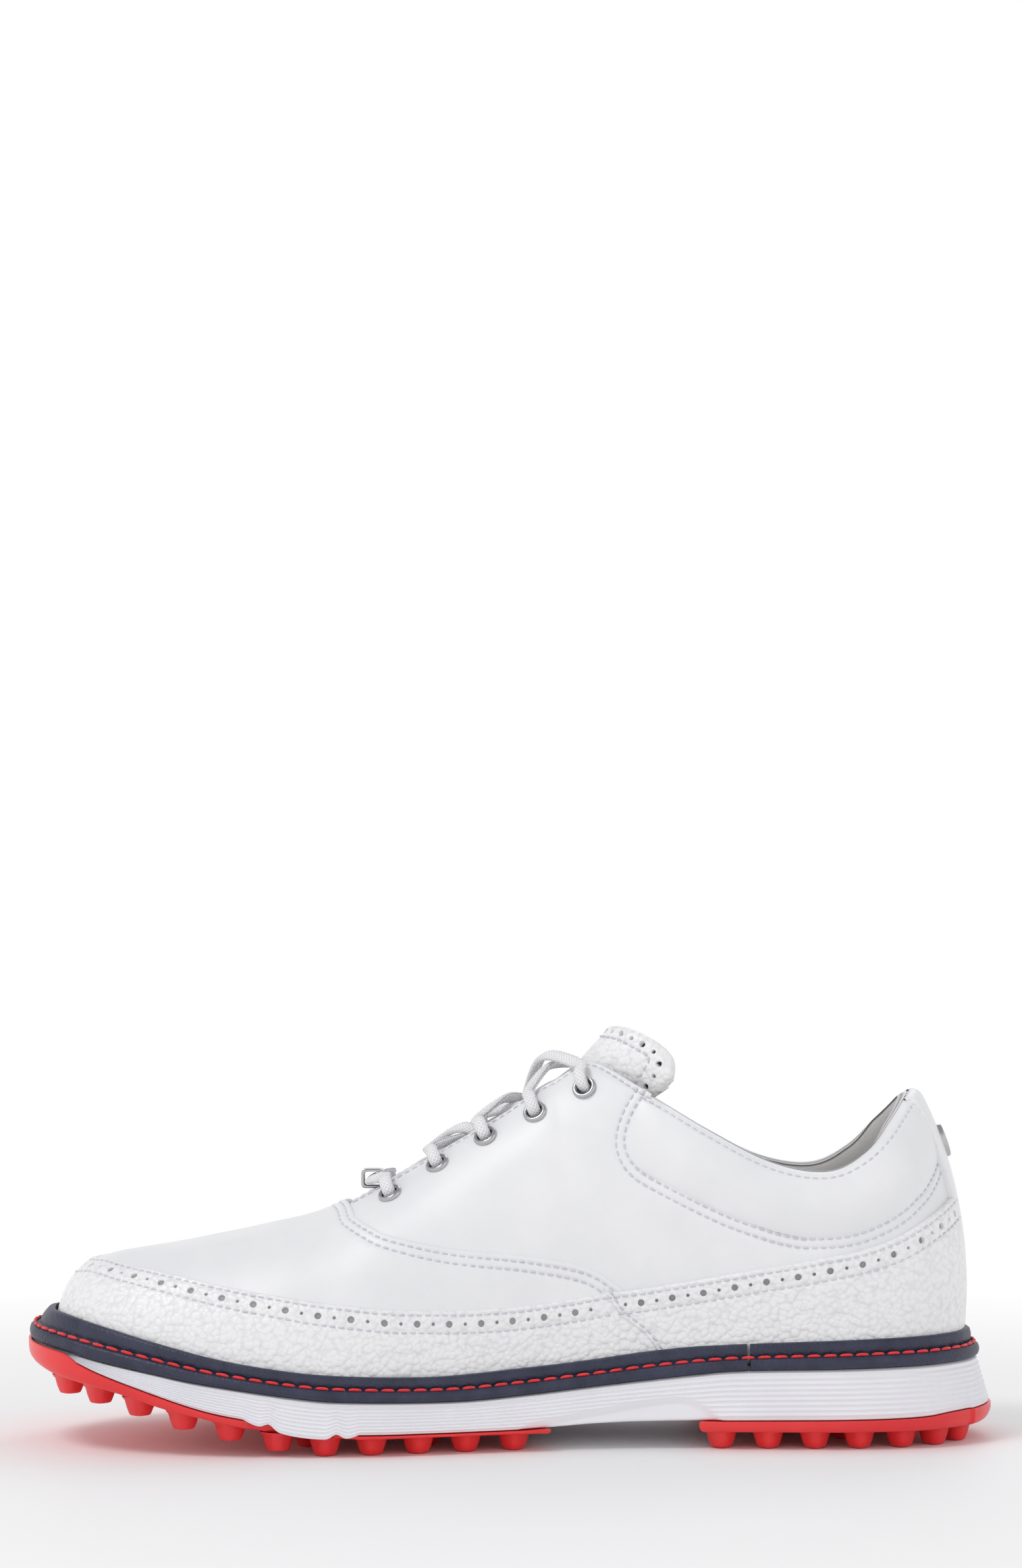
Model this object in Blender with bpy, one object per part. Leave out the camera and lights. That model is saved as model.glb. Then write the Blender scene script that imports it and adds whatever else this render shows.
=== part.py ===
"""A laced golf shoe for the right foot, built the way a cemented golf shoe is made: an outsole in two
lugged plates, a foam midsole, a storm welt around the upper, an insole board with its shank, and an upper
of overlapping leather panels over foam, stiffeners and lining.

The shoe stands on z = 0 with its toe towards +X. +Y is the side of the arch (medial side of a right shoe).
All numbers below are millimetres; make_object turns them into metres.
"""

import math

import bmesh
import bpy
import numpy as np
from mathutils import Vector

MM = 0.001
GAP = 0.3
# Cutters reach this far beyond the shoe: along x, across y, below and above.
FAR = 160.0
WIDE = 90.0
DEEP = -20.0
HIGH = 140.0

# ---------------------------------------------------------------- driving dimensions
# Outer edge of the lower welt rib, seen from above, once around: toe tip, arch side, heel, outer side.
TOE_TIP = (150.4, 7.0)
HEEL_TIP = (-147.2, 0.0)
MEDIAL_EDGE = [TOE_TIP, (147, 23), (138, 35.5), (124, 44.5), (104, 50.5), (80, 53), (60, 53.2), (42, 51.2),
               (20, 45.8), (-4, 40), (-30, 36.6), (-55, 35.6), (-80, 36.6), (-104, 36.8), (-125, 32.5),
               (-138.5, 23), (-145.4, 11.5), HEEL_TIP]
LATERAL_EDGE = [TOE_TIP, (149, -4), (141, -18), (127, -32), (108, -42), (85, -49), (60, -52.4), (35, -53.2),
                (10, -52), (-20, -48), (-50, -43.5), (-80, -40.5), (-104, -38.5), (-125, -33),
                (-138.5, -23.5), (-145.4, -12), HEEL_TIP]

# Heights along the length, as (x, z): underside of the sole plates, of the midsole, and of the welt.
PLATE_BOTTOM = [(-151, 7.5), (-146, 5.9), (-135, 5.3), (-110, 5.2), (0, 5.2), (55, 5.2), (66, 6.0), (78, 8.4),
                (92, 11.4), (104, 14.2), (117, 18), (130, 20.8), (140, 22.9), (151, 27)]
MIDSOLE_BOTTOM = [(-151, 11.2), (-135, 10.4), (-118, 9.3), (-50, 8.6), (-27, 8.0), (0, 6.6), (55, 6.9),
                  (75, 10.6), (92, 13.9), (113, 20.5), (124, 24.2), (136, 28.6), (151, 30.6)]
WELT_BOTTOM = [(-148, 25.6), (-105, 24.5), (-70, 23.8), (-56, 22.6), (-30, 19.8), (-4, 17), (17, 15.7),
               (47, 16.3), (62, 17.4), (92, 21.6), (108, 24.6), (124, 27.5), (136, 29.9), (150.4, 32.2)]
WELT_TOP = [(-148, 34), (-105, 32.8), (-62, 31), (-43, 29.3), (-24, 26.7), (-4, 24.6), (22, 22.8), (52, 23.8),
            (70, 25.6), (88, 28.6), (109, 33.6), (124, 37.2), (140, 40.2), (150.4, 41)]
# How far the middle line of the upper lies towards the arch side, as (x, y).
RIDGE_SHIFT = [(-20, 0), (40, 1.2), (112, 5)]
# How far the foot of the sole stands out beyond the welt edge, as (x, distance).
MIDSOLE_FLARE = [(-151, 4.2), (-140, 3.2), (-115, 1.6), (100, 1.4), (151, 0.5)]

# Lines across the upper, from toe to heel, each a cubic from the feather edge to the top line:
# edge x, inset of the feather edge, top point x, half width, z, then the lower handle (up, out) and the
# upper handle (out, up).
STATIONS = [
    (150.4, 10.2, 112.0, 0.0, 57.4, 24.7, -1.4, 14.0, -2.1),
    (143.0, 9.4, 109.0, 0.0, 57.9, 24.0, -1.0, 16.0, -2.0),
    (126.0, 8.6, 103.0, 0.0, 58.9, 23.5, 0.0, 19.0, -1.5),
    (104.0, 8.3, 92.0, 0.0, 61.0, 24.0, 1.5, 23.0, -0.5),
    (80.0, 8.2, 76.0, 0.0, 64.3, 25.0, 2.0, 25.0, 0.0),
    (58.0, 8.2, 57.0, 0.0, 69.3, 27.0, 2.5, 26.0, 0.0),
    (38.0, 8.2, 38.0, 0.0, 80.2, 31.0, 2.5, 26.0, 0.0),
    (18.0, 8.2, 20.0, 0.0, 91.5, 34.0, 2.5, 25.0, 0.0),
    (0.0, 8.3, 3.0, 0.0, 102.0, 37.0, 2.5, 24.0, 0.0),
    (-16.0, 8.4, -13.0, 0.0, 112.4, 38.0, 2.0, 23.0, 0.0),
    (-30.0, 8.5, -25.5, 8.5, 116.3, 38.0, 2.0, 16.0, -6.0),
    (-46.0, 8.6, -41.0, 19.0, 108.6, 34.0, 2.0, 9.0, -11.0),
    (-64.0, 8.7, -60.0, 25.5, 97.2, 29.0, 2.0, 6.0, -14.0),
    (-84.0, 8.7, -80.0, 28.5, 87.0, 25.0, 2.2, 4.0, -14.0),
    (-102.0, 8.8, -97.0, 29.0, 84.3, 24.0, 3.0, 4.0, -13.0),
    (-120.0, 8.9, -109.0, 25.5, 90.0, 25.0, 4.0, 6.0, -14.0),
    (-136.0, 9.0, -118.0, 17.0, 99.8, 28.0, 5.0, 8.5, -16.0),
    (-147.2, 9.0, -125.2, 0.0, 108.2, 31.0, 6.0, 11.0, -18.5),
]
STEPS_PER_STATION = 2
END_STATIONS = 2
END_STEPS = 3
LOOP_STEPS = 10
HEIGHT_STEPS = 8
PATH_SAMPLES = 800
HEIGHT_FRACTIONS = [0, 0.22, 0.45, 0.65, 0.81, 0.92, 1]

# Layers of the upper, as distances from the shape above, inner then outer.
LINING = (-4.8, -3.7)
FOAM = (-3.4, -GAP)
STIFFENER = (-1.6, -GAP)
LEATHER = (0.0, 1.2)
OVERLAY = (1.5, 2.7)

# Side-view outlines of the panels, as (x, z).
OVERLAY_EDGE = [(136, 62), (134, 56.2), (124, 53.9), (104.2, 51.2), (83, 47.6), (62.7, 44.7), (42.6, 42.6),
                (22.5, 42), (2, 42.4), (-15.4, 44.5), (-46.4, 49.1), (-72, 53.6), (-102.8, 59.3),
                (-113.5, 62.2), (-124.6, 67.4), (-133.4, 72.5), (-141, 79)]
OVERLAY_SEAM = [(-28, 48), (-33, 40.4), (-41, 34), (-46, 27), (-50, 10)]
VAMP_SEAM = [(51.5, 95), (51.5, 71.8), (47.9, 68.4), (42.4, 65.8), (36, 63.4), (17.4, 60.1), (-4, 58.1),
             (-22.6, 54.7), (-31.9, 49.6), (-38, 44), (-46, 27), (-50, 10)]
COLLAR_EDGE = [(-44.5, 125), (-42.9, 105.7), (-39.6, 100.7), (-37.4, 94.6), (-37.8, 90.3), (-40.3, 86.4),
               (-46.5, 82.5), (-67, 72.5), (-84.6, 66.7), (-92.8, 65.9), (-103, 66.7), (-111.5, 69.5),
               (-119.4, 73.8), (-126.7, 80.1), (-130.7, 85.5), (-136, 97), (-139, 125)]
LINING_FRONT = [(-44, 130), (-42, 97), (-38, 90), (20, 67), (30.5, 64), (30.5, 5)]
STAY_FOOT = [(54, 70), (46, 67), (-33, 92), (-37, 104), (-37, 125)]
VAMP_LINING_EDGE = [(30.9, DEEP), (30.9, 63), (50.5, 60), (50.5, HIGH), (FAR, HIGH), (FAR, DEEP)]
TOE_PUFF_BACK = 112.0
COUNTER_EDGE = [(-86, DEEP), (-90, 58), (-103, 61), (-115, 65), (-126, 72), (-FAR, 80), (-FAR, DEEP)]
STRIP_HALF_WIDTH = 8.5
STRIP_FRONT = -100.0
THROAT_X = 51.5
SLOT_HALF_WIDTH = 7.0
SLOT_FLOOR = 40.0
STAY_SET_BACK = 0.8
SEAM_GAP = 0.4
FOAM_SEAM_GAP = 1.0

# Sole: plates along x, and how far parts are set in from the edge above or below them.
FOREFOOT_PLATE = (-12.0, 160.0)
HEEL_PLATE = (-160.0, -57.0)
PLATE_TUCK = 1.6
PLATE_BULGE = 0.55
MIDSOLE_SET_BACK = 0.2
MIDSOLE_TOP_INSET = 0.6
WELT_RISE = 9.5
WELT_JOINT = (-72.2, -71.9)
# Section of the welt outside the upper: offset from the edge, share of its height, extra height.
WELT_SECTION = [(-0.5, 0.0, 0.0), (0.0, 0.0, 0.6), (0.0, 0.38, 0.0), (-0.6, 0.45, 0.0), (-2.4, 0.48, 0.0),
                (-2.7, 0.96, 0.0), (-3.1, 1.0, 0.0)]

# Layers inside the shoe, as heights over the underside of the welt, and their insets.
FILLER = (GAP, 2.0)
BOARD = (2.3, 4.3)
SOCKLINER = (4.6, 8.6)
BOARD_INSET = 1.2
SOCKLINER_INSET = 2.4
SHANK_SLOT = ((-82.5, -12.5, 0), (-2.5, 8.5, 60))
SHANK_X = (-80.0, -5.0)
SHANK_Y = (-10.0, 6.0)
SHANK_Z = (0.5, 1.7)
SHANK_SPANS = 8

EYELETS = [(37.1, 75.4), (22.4, 84.6), (7.5, 93.2), (-7.9, 100.9), (-23.2, 108.6)]
EYELET_HOLE = 2.3
EYELET_RIM = 3.85
PUNCHED_HOLE = 3.15
PUNCH_REACH = 6.0
PUNCH_SIDES = 8
# Section of an eyelet as (radius, height over the leather's inner face).
EYELET_SECTION = [(EYELET_HOLE, -1.5), (2.75, -1.5), (2.75, 1.6), (EYELET_RIM, 1.6), (3.2, 2.4),
                  (EYELET_HOLE, 2.2)]
EYELET_SIDES = 12

LACE_RADIUS = 1.5
LACE_STEP = 6.5
# Way of the lace round the facing at an eyelet, as (height over the upper, distance towards the slot).
LACE_TURN = [(-3.8, 8.0), (-4.1, 4.4), (-3.6, 1.7), (-1.9, 0.1), (0.4, 0.0), (2.5, 0.2), (4.1, 1.6),
             (4.5, 4.0), (3.4, 8.2)]
LACE_TAIL = [(-24, 100.5), (-14, 95.5), (-2, 89.5), (10, 83), (20, 77.5)]
LACE_TAIL_DEPTH = 4.0
# Height of the crossings over the middle of the instep, for the strand that lies over and under.
FIRST_CROSSING = (-0.9, -4.3)
MIDDLE_CROSSING = (2.0, -1.5)
LAST_CROSSING = (6.9, 3.4)
LAST_CROSSING_SHIFT = 2.0
AGLET_RADIUS = 1.2
AGLET_LENGTH = 12.0
AGLET_SIDES = 8
KEEPER_CENTRE = (43.5, 0.6, 80.4)
KEEPER_HALF_LENGTH = 4.5
KEEPER_OUTER = [(3.6, -2.2), (3.6, 2.2), (2.8, 3.0), (-2.8, 3.0), (-3.6, 2.2), (-3.6, -2.2), (-2.8, -3.0),
                (2.8, -3.0)]
KEEPER_INNER = [(2.7, -1.8), (2.7, 1.8), (2.3, 2.2), (-2.3, 2.2), (-2.7, 1.8), (-2.7, -1.8), (-2.3, -2.2),
                (2.3, -2.2)]
LACE_BAR_REACH = 7.0

STUD_PLACE = 0.74
STUD_HALF_SIZE = (3.4, 5.4)
STUD_SIDES = 14
# Rise over the upper and share of the full size, from the foot of the stud to its top.
STUD_LEVELS = [(2.95, 1.0), (4.0, 1.0), (4.6, 0.82), (4.75, 0.5)]

TONGUE_PIVOT = (49.0, 0.0, 63.5)
# Centre line of the tongue's face with its section: x, z, half width, depth, then the way the sides fall.
TONGUE = [
    (47.0, 67.6, 19.0, 13.0, 0.0, -1.0),
    (38.0, 73.2, 17.5, 17.0, 0.0, -1.0),
    (20.0, 84.4, 14.5, 17.0, 0.0, -1.0),
    (3.0, 95.0, 12.0, 19.0, -0.15, -1.0),
    (-12.0, 105.2, 11.5, 24.0, -0.4, -0.95),
    (-22.0, 117.2, 11.0, 28.0, -0.6, -0.8),
    (-31.5, 129.2, 19.0, 34.0, -0.72, -0.69),
]
TONGUE_SWEEP = math.radians(78)
TONGUE_LEATHER = 1.3
TONGUE_PAD = 3.6
TONGUE_STEPS = 3
TONGUE_COLUMNS = 15

LUG_HEIGHT = 5.2
LEVEL_LUGS = 0.5
LUG_TOP_RADIUS = 4.4
LUG_FOOT_RADIUS = 2.8
LUG_SIDES = 8
LUG_SINK = 0.9
# Rows of lugs inside the edge, as (first x, last x, count, inset), and the lugs in the middle.
FOREFOOT_LUG_ROW = (139.0, -2.0, 11, 6.2)
HEEL_LUG_ROW = (-64.0, -143.0, 7, 5.6)
FOREFOOT_LUGS = [(118, 8), (100, 22), (100, -12), (80, 5), (62, 28), (62, -24), (44, 4), (26, 24), (26, -26),
                 (8, 0)]
HEEL_LUGS = [(-84, 0), (-104, 12), (-104, -14), (-124, 0)]

MATERIALS = {
    "smooth_leather": ((0.86, 0.86, 0.87), 0.45, 0.0),
    "pebbled_leather": ((0.88, 0.88, 0.88), 0.35, 0.0),
    "lining_leather": ((0.62, 0.60, 0.60), 0.6, 0.0),
    "foam": ((0.8, 0.8, 0.75), 0.9, 0.0),
    "fibre_board": ((0.45, 0.36, 0.25), 0.8, 0.0),
    "stiffener": ((0.75, 0.73, 0.68), 0.7, 0.0),
    "steel": ((0.62, 0.63, 0.65), 0.3, 1.0),
    "welt_navy": ((0.03, 0.035, 0.075), 0.45, 0.0),
    "welt_thread": ((0.8, 0.02, 0.02), 0.6, 0.0),
    "midsole_white": ((0.85, 0.85, 0.9), 0.5, 0.0),
    "outsole_red": ((0.9, 0.06, 0.05), 0.4, 0.0),
    "lace_white": ((0.88, 0.88, 0.9), 0.8, 0.0),
    "nickel": ((0.72, 0.72, 0.73), 0.2, 1.0),
}


# ---------------------------------------------------------------- curves
def catmull_rom(points, steps):
    """Open smooth curve through the points, with the given number of steps in each span."""
    pts = np.array(points, float)
    padded = np.vstack([2 * pts[0] - pts[1], pts, 2 * pts[-1] - pts[-2]])
    curve = []
    for i in range(len(pts) - 1):
        a, b, c, d = padded[i:i + 4]
        for t in np.arange(steps) / steps:
            curve.append(0.5 * (2 * b + (c - a) * t + (2 * a - 5 * b + 4 * c - d) * t**2
                                + (3 * b - a - 3 * c + d) * t**3))
    curve.append(pts[-1])
    return np.array(curve)


def smooth_height(points, x):
    """Height of a smooth profile, given as (x, z) points, at x."""
    curve = catmull_rom(sorted(points), HEIGHT_STEPS)
    return float(np.interp(x, curve[:, 0], curve[:, 1]))


def profile(points, shift=0.0):
    """Function of x that reads a smooth profile and stays level beyond its ends."""
    return lambda x: smooth_height(points, min(max(x, min(points)[0]), max(points)[0])) + shift


def closed_loop():
    """Welt edge as a closed curve: points, and the distance along it from the toe by the arch side."""
    corners = np.array(MEDIAL_EDGE + LATERAL_EDGE[-2:0:-1], float)
    curve = catmull_rom(np.vstack([corners[-2:], corners, corners[:3]]), LOOP_STEPS)
    curve = curve[2 * LOOP_STEPS:-2 * LOOP_STEPS]
    steps = np.linalg.norm(np.diff(curve, axis=0), axis=1)
    return curve, np.concatenate([[0], np.cumsum(steps)])


class EdgePath:
    """One side of the welt edge, by its distance from the toe tip: side is 1 for the arch side."""

    curve, along = closed_loop()
    heel_index = (len(MEDIAL_EDGE) - 1) * LOOP_STEPS

    def __init__(self, side):
        self.side = side
        total = self.along[-1]
        half = self.along[self.heel_index]
        self.length = half if side > 0 else total - half
        reach = np.linspace(0, self.length, PATH_SAMPLES)
        xs = np.array([self.point(d)[0] for d in reach])
        heads = [float(np.interp(-row[0], -xs, reach)) for row in STATIONS[1:-1]]
        heads = [0.0] + heads + [self.length]
        self.heads = [-heads[1]] + heads + [2 * self.length - heads[-2]]
        self.xs, self.reach = xs, reach

    def distance_at_x(self, x):
        return float(np.interp(-x, -self.xs, self.reach))

    def point(self, distance):
        place = (self.side * distance) % self.along[-1]
        return np.array([np.interp(place, self.along, self.curve[:, k]) for k in (0, 1)])

    def outward(self, distance):
        run = self.point(distance + 3) - self.point(distance - 3)
        normal = self.side * np.array([run[1], -run[0]])
        return normal / np.linalg.norm(normal)


MEDIAL = EdgePath(1)
LATERAL = EdgePath(-1)
ROWS = np.array(STATIONS)
HEEL_MIRROR = ROWS[-2].copy()
HEEL_MIRROR[3] *= -1
PADDED_ROWS = np.vstack([ROWS[1], ROWS, HEEL_MIRROR])


def between(rows, s):
    """Smooth value at s of a list whose entries are padded with one more at each end."""
    k = min(int(s), len(rows) - 4)
    t = s - k
    a, b, c, d = rows[k], rows[k + 1], rows[k + 2], rows[k + 3]
    return 0.5 * (2 * b + (c - a) * t + (2 * a - 5 * b + 4 * c - d) * t**2 + (3 * b - a - 3 * c + d) * t**3)


def station_values(s):
    """Numbers of the line across the upper at s, where whole s are the listed stations."""
    return between(PADDED_ROWS, s)


def edge_distance(path, s):
    """Distance along the welt edge of the line at s."""
    return between(path.heads, s)


def edge_frame(path, s):
    distance = edge_distance(path, s)
    return path.point(distance), path.outward(distance)


def ridge_shift(x):
    """How far the middle line of the upper lies towards the arch side at x."""
    return profile(RIDGE_SHIFT)(x)


def upper_point(path, s, v):
    """Point of the upper's outer shape: s counts the stations from the toe, v runs from sole to top."""
    row = station_values(s)
    inset, top_x, top_y, top_z, low_up, low_out, high_out, high_up = row[1:]
    top_y = max(top_y, 0.0)
    point, normal = edge_frame(path, s)
    foot = point - inset * normal
    base = np.array([foot[0], foot[1], smooth_height(WELT_BOTTOM, foot[0]) + GAP])
    top = np.array([top_x, ridge_shift(top_x) + path.side * top_y, top_z])
    out = np.array([normal[0], normal[1], 0.0])
    up = np.array([0.0, 0.0, 1.0])
    low = base + low_out * out + low_up * up
    high = top + high_out * out + high_up * up
    w = 1 - v
    return w**3 * base + 3 * w * w * v * low + 3 * w * v * v * high + v**3 * top


def locate(path, x, z, start=(9.0, 0.8)):
    """The (s, v) of the point whose side view is (x, z), by Newton's method."""
    s, v = start
    step = 1e-3
    for _ in range(40):
        here = upper_point(path, s, v)[[0, 2]]
        along = (upper_point(path, s + step, v)[[0, 2]] - here) / step
        across = (upper_point(path, s, v - step)[[0, 2]] - here) / -step
        ds, dv = np.linalg.solve(np.column_stack([along, across]), np.array([x, z]) - here)
        s = min(max(s + max(min(ds, 1), -1), 0), len(ROWS) - 1.01)
        v = min(max(v + max(min(dv, 0.2), -0.2), 0.01), 0.99)
    return s, v


def surface_frame(path, s, v):
    """Point, outward normal, direction to the ridge and direction to the heel on the upper."""
    step = 1e-3
    here = upper_point(path, s, v)
    along = upper_point(path, s + step, v) - here
    across = upper_point(path, s, v + step) - here
    normal = np.cross(along, across) * path.side
    normal /= np.linalg.norm(normal)
    across /= np.linalg.norm(across)
    heelward = along - along.dot(across) * across
    return here, normal, across, heelward / np.linalg.norm(heelward)


# ---------------------------------------------------------------- mesh helpers
def material(name):
    found = bpy.data.materials.get(name)
    if found:
        return found
    colour, roughness, metallic = MATERIALS[name]
    made = bpy.data.materials.new(name)
    made.use_nodes = True
    shader = made.node_tree.nodes["Principled BSDF"]
    shader.inputs["Base Color"].default_value = (*colour, 1)
    shader.inputs["Roughness"].default_value = roughness
    shader.inputs["Metallic"].default_value = metallic
    made.diffuse_color = (*colour, 1)
    return made


def make_object(name, vertices, faces, material_name, origin=(0, 0, 0), parent=None):
    """Object from millimetre vertices, welded, with its faces turned outwards."""
    mesh = bpy.data.meshes.new(name)
    base = np.array(origin, float)
    mesh.from_pydata([tuple((np.array(v) - base) * MM) for v in vertices], [], faces)
    bm = bmesh.new()
    bm.from_mesh(mesh)
    bmesh.ops.remove_doubles(bm, verts=bm.verts, dist=1e-5)
    bmesh.ops.recalc_face_normals(bm, faces=bm.faces)
    bm.to_mesh(mesh)
    bm.free()
    mesh.materials.append(material(material_name))
    made = bpy.data.objects.new(name, mesh)
    bpy.context.collection.objects.link(made)
    made.location = base * MM
    if parent:
        made.parent = parent
        made.matrix_parent_inverse = parent.matrix_basis.inverted()
    return made


def apply_boolean(target, cutter, operation):
    """Cuts the target with a mesh object and leaves plain geometry behind."""
    modifier = target.modifiers.new(operation, "BOOLEAN")
    modifier.operation = operation
    modifier.object = cutter
    modifier.solver = "EXACT"
    bpy.context.view_layer.update()
    graph = bpy.context.evaluated_depsgraph_get()
    result = bpy.data.meshes.new_from_object(target.evaluated_get(graph))
    target.modifiers.clear()
    old = target.data
    target.data = result
    bpy.data.meshes.remove(old)
    bpy.data.objects.remove(cutter)


def prism(outline, low, high, axis="y"):
    """Solid with a side-view outline of (x, z) points, or a plan outline of (x, y) points, as a cutter."""
    def place(p, depth):
        return (p[0], depth, p[1]) if axis == "y" else (p[0], p[1], depth)
    count = len(outline)
    vertices = [place(p, low) for p in outline] + [place(p, high) for p in outline]
    faces = [tuple(range(count)), tuple(range(2 * count - 1, count - 1, -1))]
    faces += [(i, (i + 1) % count, (i + 1) % count + count, i + count) for i in range(count)]
    return make_object("cutter", vertices, faces, "steel")


def side_cut(target, outline, side=0, operation="INTERSECT"):
    """Keeps (or removes) what lies inside a side-view outline, on both sides or on one."""
    low, high = {0: (-WIDE, WIDE), 1: (GAP / 2, WIDE), -1: (-WIDE, -GAP / 2)}[side]
    apply_boolean(target, prism(outline, low, high), operation)


def box_cut(target, low, high, operation="DIFFERENCE"):
    outline = [(low[0], low[2]), (high[0], low[2]), (high[0], high[2]), (low[0], high[2])]
    apply_boolean(target, prism(outline, low[1], high[1]), operation)


def shifted(outline, dx):
    return [(x + dx, z) for x, z in outline]


# ---------------------------------------------------------------- rings around the shoe
def station_list():
    """The lines across the upper that every part of the shoe shares, closer at the toe and heel."""
    marks = [0.0]
    for k in range(len(ROWS) - 1):
        at_end = min(k, len(ROWS) - 2 - k) < END_STATIONS
        steps = END_STEPS if at_end else STEPS_PER_STATION
        marks += [k + (i + 1) / steps for i in range(steps)]
    return marks


MARKS = station_list()
RING = [(MEDIAL, s) for s in MARKS] + [(LATERAL, s) for s in MARKS[-2:0:-1]]


def loop_points(offset, height):
    """Closed ring of points at an offset from the welt edge; height is a function of x."""
    points = []
    for path, s in RING:
        point, normal = edge_frame(path, s)
        distance = offset(path, s, point[0]) if callable(offset) else offset
        place = point + distance * normal
        points.append((place[0], place[1], height(place[0])))
    return points


def feather_offset(extra):
    """Offset of a ring that follows the upper's feather edge, moved outwards by extra."""
    return lambda _path, s, _x: extra - station_values(s)[1]


def flare_offset(extra):
    """Offset of a ring that follows the foot of the sole, moved outwards by extra."""
    return lambda _path, _s, x: smooth_height(MIDSOLE_FLARE, x) + extra


def stack_faces(ring_count, length):
    """Faces between successive closed rings."""
    faces = []
    for r in range(ring_count - 1):
        for i in range(length):
            j = (i + 1) % length
            faces.append((r * length + i, r * length + j, (r + 1) * length + j, (r + 1) * length + i))
    return faces


def cap_faces(start, length):
    """Strips across a closed ring from the arch side to the outer side."""
    half = length // 2
    faces = [(start, start + 1, start + length - 1)]
    for i in range(1, half - 1):
        faces.append((start + i, start + i + 1, start + length - i - 1, start + length - i))
    faces.append((start + half - 1, start + half, start + half + 1))
    return faces


def slab(name, rings, material_name):
    """Solid whose wall runs through the rings from bottom to top, closed by strips across."""
    length = len(RING)
    vertices = [p for ring in rings for p in ring]
    faces = stack_faces(len(rings), length)
    faces += cap_faces(0, length) + cap_faces((len(rings) - 1) * length, length)
    return make_object(name, vertices, faces, material_name)


def band(name, rings, material_name):
    """Closed hoop whose section is the polygon of the rings."""
    length = len(RING)
    vertices = [p for ring in rings for p in ring]
    faces = stack_faces(len(rings), length)
    last = (len(rings) - 1) * length
    faces += [(last + i, last + (i + 1) % length, (i + 1) % length, i) for i in range(length)]
    return make_object(name, vertices, faces, material_name)


# ---------------------------------------------------------------- the sole
def lug_positions(row, middle):
    """Where the lugs of a plate stand: a row inside each edge, and the ones down the middle."""
    first_x, last_x, count, inset = row
    places = []
    for path in (MEDIAL, LATERAL):
        for distance in np.linspace(path.distance_at_x(first_x), path.distance_at_x(last_x), count):
            places.append(path.point(distance) - inset * path.outward(distance))
    return places + [np.array(place, float) for place in middle]


def lug_mesh(places, drop):
    """One mesh with every lug of a plate, a truncated cone each, tops sunk into the plate."""
    vertices, faces = [], []
    for place in places:
        base = smooth_height(PLATE_BOTTOM, place[0])
        low = base - drop if base - drop > LEVEL_LUGS else 0.0
        start = len(vertices)
        for radius, z in ((LUG_FOOT_RADIUS, low), (LUG_TOP_RADIUS, base + LUG_SINK)):
            for k in range(LUG_SIDES):
                angle = 2 * math.pi * (k + 0.5) / LUG_SIDES
                vertices.append((place[0] + radius * math.cos(angle), place[1] + radius * math.sin(angle), z))
        for k in range(LUG_SIDES):
            j = (k + 1) % LUG_SIDES
            faces.append((start + k, start + j, start + LUG_SIDES + j, start + LUG_SIDES + k))
        faces.append(tuple(start + k for k in range(LUG_SIDES)))
        faces.append(tuple(start + LUG_SIDES + k for k in range(LUG_SIDES)))
    return vertices, faces


def sole_plate(name, ends, lugs):
    """One red plate under the midsole between two x positions, with its lugs."""
    top = profile(MIDSOLE_BOTTOM, -GAP)
    bottom = profile(PLATE_BOTTOM)

    def middle(x):
        return bottom(x) + PLATE_BULGE * (top(x) - bottom(x))

    rings = [loop_points(flare_offset(-PLATE_TUCK), bottom), loop_points(flare_offset(0.0), middle),
             loop_points(flare_offset(0.0), top)]
    plate = slab(name, rings, "outsole_red")
    box_cut(plate, (ends[0], -WIDE, DEEP), (ends[1], WIDE, HIGH), "INTERSECT")
    vertices, faces = lug_mesh(lugs, LUG_HEIGHT)
    apply_boolean(plate, make_object("lugs", vertices, faces, "outsole_red"), "UNION")


def build_welt():
    """Hoop round the upper with a stitched ledge, cut through at its joint on the arch side."""
    low, high = profile(WELT_BOTTOM), profile(WELT_TOP)
    inner = feather_offset(OVERLAY[1] + GAP)

    def at(fraction, rise=0.0):
        return lambda x: low(x) + fraction * (high(x) - low(x)) + rise

    def inner_top(path, s, x):
        row = station_values(s)
        return inner(path, s, x) + max(row[6], 0) / row[5] * WELT_RISE

    rings = [loop_points(inner, at(0))]
    rings += [loop_points(offset, at(fraction, rise)) for offset, fraction, rise in WELT_SECTION]
    rings.append(loop_points(inner_top, at(1.0)))
    welt = band("storm_welt", rings, "welt_navy")
    box_cut(welt, (WELT_JOINT[0], 0.2 * WIDE, DEEP), (WELT_JOINT[1], WIDE, HIGH))


def inner_layer(name, inset, heights, material_name):
    """Flat layer inside the upper, between two heights over the underside of the welt."""
    floor = profile(WELT_BOTTOM)
    rings = [loop_points(feather_offset(LINING[0] - inset), lambda x, rise=rise: floor(x) + rise)
             for rise in heights]
    return slab(name, rings, material_name)


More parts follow.
